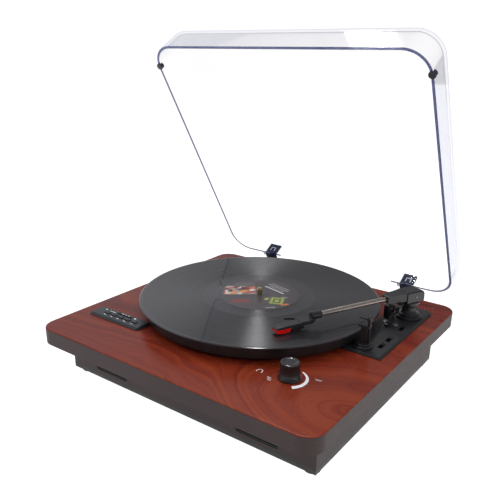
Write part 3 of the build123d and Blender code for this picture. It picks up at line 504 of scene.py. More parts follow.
def shade(colour: Colour, factor: float) -> Colour:
    """A colour made lighter or darker by a factor."""
    return tuple(min(1.0, v * factor) for v in colour)


@dataclass(frozen=True)
class Plastic:
    """Moulded plastic: faint mottling, a fine pebble grain, and edges that are soft and rubbed."""

    name: str
    colour: Colour
    roughness: float = 0.42
    grain_mm: float = 0.02
    grain_size: float = 1.6
    edge_mm: float = 0.35
    coat: float = 0.0
    rub: float = 1.7
    specular: float = 0.5

    def material(self) -> bpy.types.Material:
        """Build the material.

        Returns:
            The material.
        """
        g = Graph(self.name)
        p = g.place()
        cloud = g.noise(p, 0.06, 3.0)
        pebble = g.noise(p, self.grain_size, 2.0, 0.6)
        rounded, near = g.soft_edge(self.edge_mm)
        base = g.mix(cloud, shade(self.colour, 0.8), shade(self.colour, 1.2))
        rubbed = g.math("MULTIPLY", near, g.remap(g.noise(p, 0.35, 4.0), 0.35, 0.75))
        base = g.mix(rubbed, base, shade(self.colour, self.rub))
        rough = g.math("ADD", g.remap(cloud, 0.3, 0.7, -0.05, 0.06),
                       g.remap(pebble, 0.3, 0.7, self.roughness - 0.04, self.roughness + 0.04))
        normal = g.bump(pebble, self.grain_mm, 1.0, rounded)
        return g.finish(g.shader(Base_Color=base, Roughness=rough, Normal=normal, Coat_Weight=self.coat,
                                 Coat_Roughness=0.08, Specular_IOR_Level=self.specular))


@dataclass(frozen=True)
class Metal:
    """Worked metal with fine tool lines along one axis and slight tarnish clouds."""

    name: str
    colour: Colour
    roughness: float = 0.3
    lines: tuple[float, float, float] = (0.3, 6.0, 6.0)
    turn: float = 0.0
    edge_mm: float = 0.15

    def material(self) -> bpy.types.Material:
        """Build the material.

        Returns:
            The material.
        """
        g = Graph(self.name)
        streak = g.noise(g.place(turn=self.turn, scale=self.lines), 1.0, 3.0, 0.6)
        cloud = g.noise(g.place(), 0.25, 3.0)
        rounded, near = g.soft_edge(self.edge_mm)
        base = g.mix(cloud, shade(self.colour, 0.82), shade(self.colour, 1.08))
        base = g.mix(near, base, shade(self.colour, 1.2))
        rough = g.math("ADD", g.remap(streak, 0.2, 0.8, -0.08, 0.1),
                       g.remap(cloud, 0.3, 0.7, self.roughness, self.roughness + 0.06))
        return g.finish(g.shader(Base_Color=base, Metallic=1.0, Roughness=rough,
                                 Normal=g.bump(streak, 0.006, 0.5, rounded)))


@dataclass(frozen=True)
class Film:
    """Dark printed film on the board's edges and the lower box, with a faint lengthwise grain."""

    colour: Colour = (0.034, 0.019, 0.019)
    fleck: Colour = (0.056, 0.034, 0.033)
    roughness: float = 0.50

    def layers(self, g: Graph) -> tuple[bpy.types.NodeSocket, ...]:
        """Add the film to a graph.

        Args:
            g: the graph.

        Returns:
            Its colour, roughness and height.
        """
        p = g.place(scale=(0.05, 0.05, 1.0))
        fibre = g.noise(p, 1.4, 5.0, 0.62)
        cloud = g.noise(g.place(), 0.012, 3.0)
        base = g.mix(g.remap(fibre, 0.32, 0.72), self.colour, self.fleck)
        base = g.mix(g.remap(cloud, 0.3, 0.7, 0.0, 0.5), base, shade(self.colour, 0.75))
        rough = g.remap(fibre, 0.3, 0.7, self.roughness - 0.06, self.roughness + 0.07)
        return base, rough, fibre

    def material(self, name: str) -> bpy.types.Material:
        """Build the film as a material of its own.

        Args:
            name: the material's name.

        Returns:
            The material.
        """
        g = Graph(name)
        base, rough, height = self.layers(g)
        rounded, near = g.soft_edge(0.5)
        base = g.mix(g.math("MULTIPLY", near, 0.6), base, shade(self.fleck, 1.5))
        return g.finish(g.shader(Base_Color=base, Roughness=rough, Specular_IOR_Level=0.32,
                                 Normal=g.bump(height, 0.03, 0.6, rounded)))


@dataclass(frozen=True)
class Veneer:
    """Glossy red-brown veneer: dark and orange figure along X that curls round one corner."""

    top_mm: float
    curl_x: float = 199.0
    curl_y: float = -144.0
    curl_squash: float = 0.62
    curl_fade_mm: tuple[float, float] = (100.0, 42.0)
    curl_wander_mm: float = 90.0
    wander_mm: float = 150.0
    ripple_mm: float = 16.0
    film_from_mm: tuple[float, float] = (1.1, 0.75)
    deep: Colour = (0.085, 0.0095, 0.0050)
    middle: Colour = (0.165, 0.0190, 0.0085)
    warm: Colour = (0.262, 0.0400, 0.0120)

    def layers(self, g: Graph) -> tuple[bpy.types.NodeSocket, bpy.types.NodeSocket]:
        """Add the veneer to a graph.

        The figure is noise along one number: the distance across the board, wandering with a
        broad noise, which turns into the distance from the curl's centre near that centre.

        Args:
            g: the graph.

        Returns:
            Its colour and the height of its pores.
        """
        p = g.place()
        x, y, _z = g.split(p)
        wander = g.noise(g.place(scale=(0.55, 1.0, 1.0)), 0.0085, 3.0, 0.5)
        ripple = g.noise(g.place(scale=(0.35, 1.0, 1.0)), 0.035, 3.0, 0.55)
        lines = g.math("MULTIPLY_ADD", wander, self.wander_mm, y)
        lines = g.math("MULTIPLY_ADD", ripple, self.ripple_mm, lines)
        from_curl = g.vector("SUBTRACT", p, (self.curl_x, self.curl_y, self.top_mm))
        reach = g.vector("LENGTH", g.vector("MULTIPLY", from_curl, (self.curl_squash, 1.0, 0.0)))
        rings = g.math("MULTIPLY_ADD", wander, self.curl_wander_mm, g.math("MULTIPLY", reach, 1.15))
        figure = g.blend(g.remap(reach, *self.curl_fade_mm), lines, rings)
        broad = g.noise_line(figure, 0.052, 2.0, 0.5)
        fine = g.noise_line(figure, 0.42, 4.0, 0.65)
        fibre = g.noise(g.place(scale=(0.03, 1.0, 1.0)), 1.1, 4.0, 0.65)
        tone = g.math("MULTIPLY_ADD", fine, 0.32, g.math("MULTIPLY", broad, 0.72))
        tone = g.math("MULTIPLY_ADD", fibre, 0.16, tone)
        warmth = g.remap(g.math("SUBTRACT", x, y), -60.0, 330.0, -0.10, 0.09)
        tone = g.math("ADD", tone, warmth)
        colour = g.ramp(tone, ((0.30, self.deep), (0.54, self.middle), (0.80, self.warm)))
        pores = g.noise(g.place(scale=(0.12, 2.4, 1.0)), 1.0, 2.0, 0.5)
        pore = g.remap(pores, 0.34, 0.24)
        colour = g.mix(g.math("MULTIPLY", pore, 0.55), colour, shade(self.deep, 0.5))
        return colour, pore

    def material(self) -> bpy.types.Material:
        """Build the board's material: veneer on top, film on the edges and below.

        Returns:
            The material.
        """
        g = Graph("veneered_board")
        _x, _y, z = g.split(g.place())
        on_top = g.remap(z, *(self.top_mm - down for down in self.film_from_mm))
        veneer, pore = self.layers(g)
        film, film_rough, fibre = Film().layers(g)
        smear = g.noise(g.place(), 0.02, 4.0, 0.6)
        rough = g.blend(on_top, film_rough, g.remap(smear, 0.3, 0.7, 0.24, 0.34))
        rounded, _near = g.soft_edge(0.4)
        height = g.blend(on_top, fibre, g.math("MULTIPLY", pore, -0.5))
        return g.finish(g.shader(
            Base_Color=g.mix(on_top, film, veneer), Roughness=rough,
            Normal=g.bump(height, 0.02, 0.5, rounded), Specular_IOR_Level=0.26))


@dataclass(frozen=True)
class PressedVinyl:
    """Pressed record: glossy black, with grooves that stretch each highlight along a radius."""

    centre: Vector
    groove_in: float = 70.5
    groove_out: float = 146.4
    colour: Colour = (0.012, 0.012, 0.014)
    # Painted reflection: colour laid on the smooth vinyl outside the grooved band.
    ungrooved_reflection: Colour = (0.030, 0.024, 0.030)

    def material(self) -> bpy.types.Material:
        """Build the material.

        The tangent points away from the spindle: at (x, y) it is (x, y, 0) turned into world space.

        Returns:
            The material.
        """
        g = Graph("pressed_vinyl")
        p = g.place(self.centre)
        x, y, _z = g.split(p)
        radius = g.vector("LENGTH", g.vector("MULTIPLY", p, (1.0, 1.0, 0.0)))
        tangent = g.vector("NORMALIZE", g.node("CombineXYZ", {0: x, 1: y}).outputs[0])
        tangent = g.node("VectorTransform", {"Vector": tangent}, vector_type="VECTOR",
                         convert_from="OBJECT", convert_to="WORLD").outputs[0]
        grooved = g.math("MULTIPLY", g.remap(radius, self.groove_in, self.groove_in + 1.0),
                         g.remap(radius, self.groove_out, self.groove_out - 0.8))
        passage = g.noise_line(radius, 0.35, 4.0, 0.7)
        dust = g.noise(p, 0.9, 3.0, 0.7)
        groove_rough = g.math("MULTIPLY_ADD", passage, 0.12, 0.235)
        rough = g.blend(grooved, g.remap(dust, 0.3, 0.8, 0.20, 0.28), groove_rough)
        base = g.mix(g.remap(dust, 0.62, 0.85, 0.0, 0.5), self.colour, shade(self.colour, 2.2))
        # Painted reflection: outside the grooved band, on the raised edge and the run-out, the colour is lifted
        # halfway toward a dull mauve that stands in for reflected light.
        base = g.mix(grooved, g.mix(0.5, base, self.ungrooved_reflection), base)
        height = g.math("MULTIPLY", g.noise_line(radius, 2.2, 3.0, 0.8), grooved)
        return g.finish(g.shader(
            Base_Color=base, Roughness=rough, Anisotropic=0.98, Tangent=tangent,
            Normal=g.bump(height, 0.03, 0.35), Coat_Weight=0.45, Coat_Roughness=0.045))


@dataclass(frozen=True)
class LabelShape:
    """Soft-edged rectangle printed on the label, in millimetres and degrees of the label's own.

    Without an ink it shows the picture.
    """

    x: float
    y: float
    half_x: float
    half_y: float
    turn: float
    soft: float
    ink: Colour | None
    strength: float


@dataclass(frozen=True)
class PrintedLabel:
    """Paper record label with an abstract picture block, text-like bars and a badge."""

    centre: Vector
    turn: float = 36.45
    paper: Colour = (0.054, 0.045, 0.050)
    picture: tuple[tuple[float, Colour], ...] = (
        (0.08, (0.05, 0.02, 0.02)), (0.30, (0.50, 0.05, 0.03)), (0.52, (0.62, 0.24, 0.07)),
        (0.74, (0.62, 0.58, 0.55)), (0.92, (0.12, 0.06, 0.06)))
    blocks: tuple[LabelShape, ...] = (
        LabelShape(-25.0, 12.5, 20.0, 14.0, 0.0, 5.0, None, 0.92),
        LabelShape(-18.0, 33.0, 13.0, 5.0, 8.0, 6.0, (0.10, 0.09, 0.09), 0.8),
        LabelShape(-24.0, -23.0, 11.0, 4.5, 10.0, 7.0, (0.24, 0.02, 0.02), 0.75))
    first_row: tuple[float, float] = (19.5, 14.5)
    row_step: tuple[float, float] = (2.9, 3.6)
    rows: tuple[tuple[float, float], ...] = ((17.5, 0.62), (14.0, 0.26), (18.5, 0.30), (16.0, 0.26))
    badge: tuple[LabelShape, ...] = (
        LabelShape(21.0, -22.0, 8.0, 10.0, -12.0, 4.0, LIME, 0.95),
        LabelShape(21.0, -22.0, 5.0, 7.0, -12.0, 2.0, (0.05, 0.05, 0.03), 0.9),
        LabelShape(21.0, -22.0, 2.6, 4.0, -12.0, 2.0, LIME, 0.9),
        LabelShape(8.5, -16.0, 2.6, 3.4, -30.0, 0.5, LIME, 0.85),
        LabelShape(30.0, -33.5, 5.0, 2.2, 14.0, 0.5, (0.55, 0.15, 0.03), 0.95),
        LabelShape(31.0, -11.0, 4.0, 0.9, -20.0, 0.5, (0.4, 0.4, 0.4), 0.8),
        LabelShape(12.0, -43.0, 6.0, 0.8, 8.0, 0.5, (0.42, 0.42, 0.36), 0.8))

    def shapes(self) -> list[LabelShape]:
        """List every printed shape, in the order of printing.

        Returns:
            The blocks, the text-like bars, which step across the label, and the badge.
        """
        bars = []
        for row, (half_length, bright) in enumerate(self.rows):
            x, y = (first + row * step for first, step in zip(self.first_row, self.row_step))
            bars.append(LabelShape(x, y, half_length, 1.0, -50.0, 0.5, (bright, bright, bright), 0.9))
        return [*self.blocks, *bars, *self.badge]

    def mask(self, g: Graph, shape: LabelShape) -> bpy.types.NodeSocket:
        """Mask of a printed shape.

        Args:
            g: the graph.
            shape: the shape.

        Returns:
            1 inside and 0 outside.
        """
        main, own = math.radians(self.turn), math.radians(shape.turn)
        c, s = math.cos(main), math.sin(main)
        offset = Vector((c * shape.x - s * shape.y, s * shape.x + c * shape.y, 0.0)) * MM
        place = g.place(self.centre + offset, turn=main + own)
        along, across, _z = g.split(g.vector("ABSOLUTE", place))
        border = shape.soft / 2
        inside = g.remap(along, shape.half_x + border, shape.half_x - border)
        return g.math("MULTIPLY", inside, g.remap(across, shape.half_y + border, shape.half_y - border))

    def material(self) -> bpy.types.Material:
        """Build the material by laying each printed shape over the paper.

        Returns:
            The material.
        """
        g = Graph("printed_label")
        fibre = g.noise(g.place(self.centre), 1.1, 4.0, 0.6)
        colour = g.mix(fibre, shade(self.paper, 0.85), shade(self.paper, 1.2))
        mosaic = g.place(self.centre, scale=(0.16, 0.11, 1.0))
        cells = g.node("TexVoronoi", {"Vector": mosaic, "Scale": 1.0, "Randomness": 1.0})
        tone = g.node("SeparateColor", {0: cells.outputs["Color"]}).outputs[0]
        picture = g.ramp(tone, self.picture)
        for shape in self.shapes():
            cover = g.math("MULTIPLY", self.mask(g, shape), shape.strength)
            colour = g.mix(cover, colour, shape.ink or picture)
        return g.finish(g.shader(Base_Color=colour, Roughness=0.34, Specular_IOR_Level=0.6,
                                 Normal=g.bump(fibre, 0.01, 0.5)))


@dataclass(frozen=True)
class ClearShell:
    """Clear polished plastic with painted shade where it is seen edge on and over its bends, and a dark cut rim.
    """

    hinge: Vector
    open_deg: float
    rim_over_hinge_mm: float = 12.3
    rim: Colour = (0.018, 0.032, 0.150)
    rim_band_mm: float = 0.25
    # Painted shade: the see-through colour at the plastic's bends, and the stops by which it greys as the plastic
    # is seen edge on.
    bend_shade_colour: Colour = (0.50, 0.53, 0.66)
    edge_on_shades: tuple[tuple[float, Colour], ...] = (
        (0.02, (0.999, 0.999, 0.999)), (0.15, (0.956, 0.954, 0.962)),
        (0.5, (0.88, 0.88, 0.91)), (1.0, (0.50, 0.54, 0.66)))

    def material(self) -> bpy.types.Material:
        """Build the material.

        The rim lies in one plane; the distance from it is the dot product of the rim's normal
        with the way from a point of that plane.

        Returns:
            The material.
        """
        g = Graph("clear_plastic")
        turn = math.radians(-self.open_deg)
        normal = Vector((0.0, math.sin(turn), -math.cos(turn)))
        on_plane = self.hinge - normal * self.rim_over_hinge_mm * MM
        away = g.math("ABSOLUTE", g.vector("DOT_PRODUCT", g.place(on_plane), tuple(normal)))
        on_rim = g.remap(away, self.rim_band_mm, self.rim_band_mm * 0.4)
        haze = g.noise(g.place(), 0.03, 4.0, 0.6)
        # Painted shade: the light let through greys where the plastic is seen edge on and where its surface bends
        # over an edge, which draws the cover's outline.
        edge_on = g.node("LayerWeight", {"Blend": 0.30}).outputs["Facing"]
        shaded_clear = g.ramp(g.math("POWER", edge_on, 1.6), self.edge_on_shades)
        _rounded, bend = g.soft_edge(0.9)
        shaded_clear = g.mix(g.math("MULTIPLY", bend, 0.85), shaded_clear, self.bend_shade_colour)
        clear = g.node("BsdfTransparent", {"Color": shaded_clear}).outputs[0]
        polish = g.node("BsdfGlossy", {"Color": (0.9, 0.92, 0.96), "Roughness": 0.05,
                                       "Normal": g.bump(haze, 0.03, 0.3)}).outputs[0]
        mirror = g.node("LayerWeight", {"Blend": 0.08}).outputs["Fresnel"]
        weight = g.math("MULTIPLY_ADD", mirror, 0.35, g.remap(haze, 0.3, 0.8, 0.0, 0.006), clamp=True)
        body = g.node("MixShader", {0: weight, 1: clear, 2: polish}).outputs[0]
        blue = g.mix(haze, shade(self.rim, 0.7), shade(self.rim, 1.6))
        cut = g.shader(Base_Color=blue, Roughness=0.22)
        shown = g.node("MixShader", {0: g.math("MULTIPLY", on_rim, 0.9), 1: body, 2: cut})
        return g.finish(shown.outputs[0])


@dataclass(frozen=True)
class Ink:
    """Screen-printed ink, slightly uneven and matt."""

    name: str
    colour: Colour

    def material(self) -> bpy.types.Material:
        """Build the material.

        Returns:
            The material.
        """
        g = Graph(self.name)
        speckle = g.noise(g.place(), 2.6, 3.0, 0.6)
        base = g.mix(g.remap(speckle, 0.55, 0.8, 0.0, 0.35), self.colour, shade(self.colour, 0.6))
        return g.finish(g.shader(Base_Color=base, Roughness=0.45, Normal=g.bump(speckle, 0.01, 0.4)))


@dataclass(frozen=True)
class Fibre:
    """Soft fibrous stuff, such as a felt mat or a paper cone, with a little sheen."""

    name: str
    colour: Colour
    scale: float = 1.4
    depth_mm: float = 0.12

    def material(self) -> bpy.types.Material:
        """Build the material.

        Returns:
            The material.
        """
        g = Graph(self.name)
        p = g.place()
        hair = g.noise(p, self.scale, 6.0, 0.75, 1.2)
        base = g.mix(hair, shade(self.colour, 0.6), shade(self.colour, 1.6))
        return g.finish(g.shader(Base_Color=base, Roughness=0.92, Sheen_Weight=0.25,
                                 Normal=g.bump(hair, self.depth_mm, 0.8)))


@dataclass(frozen=True)
class CircuitMask:
    """Green solder mask with lighter tracks that run square to each other."""

    def material(self) -> bpy.types.Material:
        """Build the material.

        Returns:
            The material.
        """
        g = Graph("solder_mask")
        cells = g.node("TexVoronoi", {"Vector": g.place(), "Scale": 0.22, "Randomness": 0.8},
                       distance="CHEBYCHEV", feature="F1").outputs["Distance"]
        track = g.remap(g.math("PINGPONG", cells, 0.12), 0.075, 0.1)
        base = g.mix(track, (0.012, 0.07, 0.03), (0.03, 0.15, 0.06))
        return g.finish(g.shader(Base_Color=base, Roughness=0.32, Normal=g.bump(track, 0.04, 0.6)))


@dataclass(frozen=True)
class Lamp:
    """Milky lamp with a faint glow that is stronger in its middle."""

    def material(self) -> bpy.types.Material:
        """Build the material.

        Returns:
            The material.
        """
        g = Graph("lamp")
        core = g.noise(g.place(), 0.9, 2.0)
        base = g.mix(core, (0.75, 0.78, 0.85), (0.95, 0.96, 1.0))
        return g.finish(g.shader(Base_Color=base, Roughness=0.25, Emission_Color=base,
                                 Emission_Strength=0.35, Coat_Weight=0.5))


# --- Sub-assemblies --------------------------------------------------------------------------


def paint(node: str, material: bpy.types.Material) -> None:
    """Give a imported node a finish, in every slot that it has.

    Args:
        node: the node's name.
        material: the finish.
    """
    target = frame["nodes"][node]
    if not target.material_slots:
        target.data.materials.append(material)
    for place in target.material_slots:
        place.material = material


@dataclass
class Case:
    """Top board, lower box, feet, speakers, circuit and sockets."""

    grille: Plastic = Plastic("grille_plastic", (0.012, 0.012, 0.013), 0.5)
    black: Plastic = Plastic("panel_plastic", (0.014, 0.013, 0.014), 0.5, 0.03, 1.1)
    rubber: Plastic = Plastic("rubber", (0.013, 0.013, 0.013), 0.72, 0.05, 0.9, 0.6)
    socket: Plastic = Plastic("socket_plastic", (0.011, 0.011, 0.011), 0.38)
    zinc: Metal = Metal("zinc_steel", (0.58, 0.58, 0.60), 0.32)
    magnet: Metal = Metal("speaker_steel", (0.20, 0.20, 0.21), 0.5)
    cone: Fibre = Fibre("cone_paper", (0.022, 0.021, 0.020))
    insulator_r: tuple[float, float] = (1.7 * MM, 3.15 * MM)
    insulator_t: float = 0.02 * MM
    insulators: tuple[tuple[str, Colour], ...] = (
        ("phono_left", (0.72, 0.71, 0.68)), ("phono_right", (0.55, 0.02, 0.02)))
    marked: tuple[str, ...] = ("phono_left", "phono_right", "line_in", "power_in")
    mark_long: tuple[float, float] = (6.0 * MM, 7.5 * MM)
    mark_tall: float = 0.9 * MM
    mark_down: float = 4.0 * MM
    mark_proud: float = 0.04 * MM

    def dress(self) -> None:
        """Give the case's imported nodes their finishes."""
        # Painted shade: the box walls, which stand back under the board's overhang, take a darker copy of the
        # board's edge film.
        film = Film((0.027, 0.014, 0.015), (0.044, 0.025, 0.026)).material("box_film_shaded")
        top = span("top_board")[1].z / MM
        paint("top_board", Veneer(top).material())
        paint("box_walls", film)
        black, socket, zinc = self.black.material(), self.socket.material(), self.zinc.material()
        for node in ("bottom_panel", "rear_jack_plate"):
            paint(node, black)
        paint("speaker_grilles", self.grille.material())
        paint("rubber_feet", self.rubber.material())
        paint("cover_bumpers", Plastic("bumper_rubber", (0.016, 0.018, 0.030), 0.45).material())
        dark_steel = self.magnet.material()
        for node in ("speaker_frames", "tilt_axle", "counterweight"):
            paint(node, dark_steel)
        paint("speaker_cones", self.cone.material())
        paint("circuit_board", CircuitMask().material())
        for node in ("circuit_components", "switch_bodies", "button_switches", "volume_control",
                     "rear_jacks", "headphone_jack", "standoffs"):
            paint(node, socket)
        for node in ("screws", "thrust_ball", "hinge_pins",
                     "usb_socket", "card_socket", "motor_body"):
            paint(node, zinc)

    def build(self) -> None:
        """Make the coloured insulators in the two phono sockets, and the marks by the sockets."""
        back, height = span("rear_jacks")[1].y, mount_place("phono_left").z
        inner, outer = self.insulator_r
        section = np.array([(inner, 0.0), (outer, 0.0), (outer, -self.insulator_t),
                            (inner, -self.insulator_t)])
        ring = lathe(section, Vector((0, 0, 0)), 48, True)
        for name, colour in self.insulators:
            finish = Plastic(name + "_plastic", colour, 0.35).material()
            shell = upright(ring, mount_place(name).x, back, height)
            shell.piece(name + "_insulator", finish, Body.PLINTH, "component_black")
        plate = span("rear_jack_plate")[1]
        marks = []
        for index, name in enumerate(self.marked):
            flat = dash(0.0, 0.0, 0.0, self.mark_long[index % 2], self.mark_tall)
            marks.append(upright(flat, mount_place(name).x, plate.y + self.mark_proud,
                                 plate.z - self.mark_down))
        grey = Ink("socket_ink", (0.55, 0.55, 0.55)).material()
        Shell.joined(marks).piece("socket_marks", grey, Body.PLINTH, "black_panel")


@dataclass
class PlatterAndRecord:
    """Platter, mat, belt, motor pulley, spindle, record and label; sizes in millimetres.

    Pairs along the record's section are a distance in from the edge, or a radius, and a height.
    """

    segments: int = 360
    tracks: tuple[float, ...] = (146.4, 131.0, 117.5, 101.0, 86.5, 70.5)
    gap: float = 1.0
    land: float = 0.006
    face_drop: float = 0.25
    under_edge: tuple[tuple[float, float], ...] = ((4.0, 0.0), (1.6, 0.06), (0.5, 0.35), (0.0, 0.85))
    over_edge: tuple[tuple[float, float], ...] = ((0.0, 0.85), (0.5, 0.35), (1.6, 0.07))
    lip: tuple[float, float] = (3.2, 0.03)
    run_out: tuple[tuple[float, float], ...] = ((62.0, 0.0), (56.0, 0.01), (53.6, 0.1))
    hole: float = 3.63
    label_seat: tuple[tuple[float, float], ...] = ((52.0, 0.02), (51.0, 0.01), (3.63, 0.01))
    label_hole: float = 3.7
    label_bevel: tuple[float, float] = (0.3, 0.04)
    ring: tuple[float, float] = (13.0, 15.5)
    ring_slope: float = 0.5
    ring_dip: float = 0.06
    centre: Vector = field(default_factory=lambda: Vector(span("spindle")[2]))

    def dress(self) -> None:
        """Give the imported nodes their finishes."""
        brass = Metal("turned_brass", (0.62, 0.50, 0.30), 0.24, (6.0, 6.0, 0.4)).material()
        paint("platter", Plastic("platter_plastic", (0.010, 0.010, 0.011), 0.36).material())
        paint("slip_mat", Fibre("mat_felt", (0.014, 0.014, 0.015)).material())
        paint("drive_belt", Plastic("belt_rubber", (0.012, 0.012, 0.012), 0.6).material())
        for node in ("motor_pulley", "bearing_housing", "spindle"):
            paint(node, brass)

    def record_profile(self, low: Vector, high: Vector) -> np.ndarray:
        """Radius and height round the record's section.

        The upper face steps down from the raised edge to the grooved band, rises by the land's
        height over each gap between tracks, and climbs again to the label.

        Args:
            low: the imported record's lowest corner, metres.
            high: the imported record's highest corner, metres.

        Returns:
            The (n, 2) section, metres.
        """
        edge = (high.x - low.x) / 2 / MM
        top, bottom = high.z / MM, low.z / MM
        face = top - self.face_drop
        points = [(self.hole, bottom)]
        points += [(edge - inset, bottom + up) for inset, up in self.under_edge]
        points += [(edge - inset, top - down) for inset, down in self.over_edge]
        points.append((edge - self.lip[0], face + self.lip[1]))
        for radius in self.tracks:
            for share, up in ((1.0, 0.0), (0.5, self.land), (-0.5, self.land), (-1.0, 0.0)):
                points.append((radius + share * self.gap / 2, face + up))
        points += [(radius, face + up) for radius, up in self.run_out]
        points += [(radius, top - down) for radius, down in self.label_seat]
        return np.array(points) * MM

    def label_profile(self, low: Vector, high: Vector) -> np.ndarray:
        """Radius and height round the label's section, with a moulded ring sunk into its face.

        Args:
            low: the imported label's lowest corner, metres.
            high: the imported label's highest corner, metres.

        Returns:
            The (n, 2) section, metres.
        """
        edge, top, bottom = (high.x - low.x) / 2 / MM, high.z / MM, low.z / MM
        inset, drop = self.label_bevel
        inner, outer = self.ring
        sunk = top - self.ring_dip
        return np.array([
            (self.label_hole, bottom), (edge, bottom), (edge, top - drop), (edge - inset, top),
            (outer + self.ring_slope, top), (outer, sunk), (inner, sunk),
            (inner - self.ring_slope, top), (self.label_hole, top)]) * MM

    def build(self) -> None:
        """Make the record with its track bands, and the label with its moulded ring."""
        low, high, _centre = span("vinyl_record")
        axis = Vector((self.centre.x, self.centre.y, 0.0))
        record = lathe(self.record_profile(low, high), axis, self.segments, True)
        made = record.piece("record_disc", PressedVinyl(axis).material(), Body.PLATTER, "vinyl")
        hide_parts("vinyl_record")
        low, high, _centre = span("record_label")
        label = lathe(self.label_profile(low, high), axis, self.segments // 2, True)
        paper = PrintedLabel(axis + Vector((0, 0, high.z))).material()
        made = label.piece("label_disc", paper, Body.PLATTER, "label_paper")
        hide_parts("record_label")


@dataclass
class Tonearm:
    """Tonearm, its base plate, rest, lift and switches."""

    body: Plastic = Plastic("arm_plastic", (0.013, 0.013, 0.015), 0.34, 0.012, 2.2, 0.5, 0.1)
    plate: Plastic = Plastic("arm_plate_plastic", (0.013, 0.013, 0.015), 0.46, 0.02, 1.8, 0.5)
    tube: Metal = Metal("champagne_tube", (0.46, 0.40, 0.36), 0.36, (8.0, 0.25, 8.0),
                        math.radians(-25.0))
    stylus: Plastic = Plastic("stylus_red", (0.75, 0.004, 0.004), 0.3, 0.005, 2.0, 0.2, 0.2, 1.1)

    def dress(self) -> None:
        """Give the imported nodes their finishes."""
        body = self.body.material()
        for node in ("arm_pillar", "pivot_head", "arm_housing", "headshell", "cartridge", "lift_cylinder",
                     "lift_platform", "cue_lever", "arm_rest", "arm_clip"):
            paint(node, body)
        paint("arm_base_plate", self.plate.material())
        paint("arm_tube", self.tube.material())
        paint("stylus", self.stylus.material())
        switch = Plastic("switch_plastic", (0.010, 0.010, 0.011), 0.32).material()
        for node in ("mode_switch", "auto_stop_switch", "speed_switch"):
            paint(node, switch)


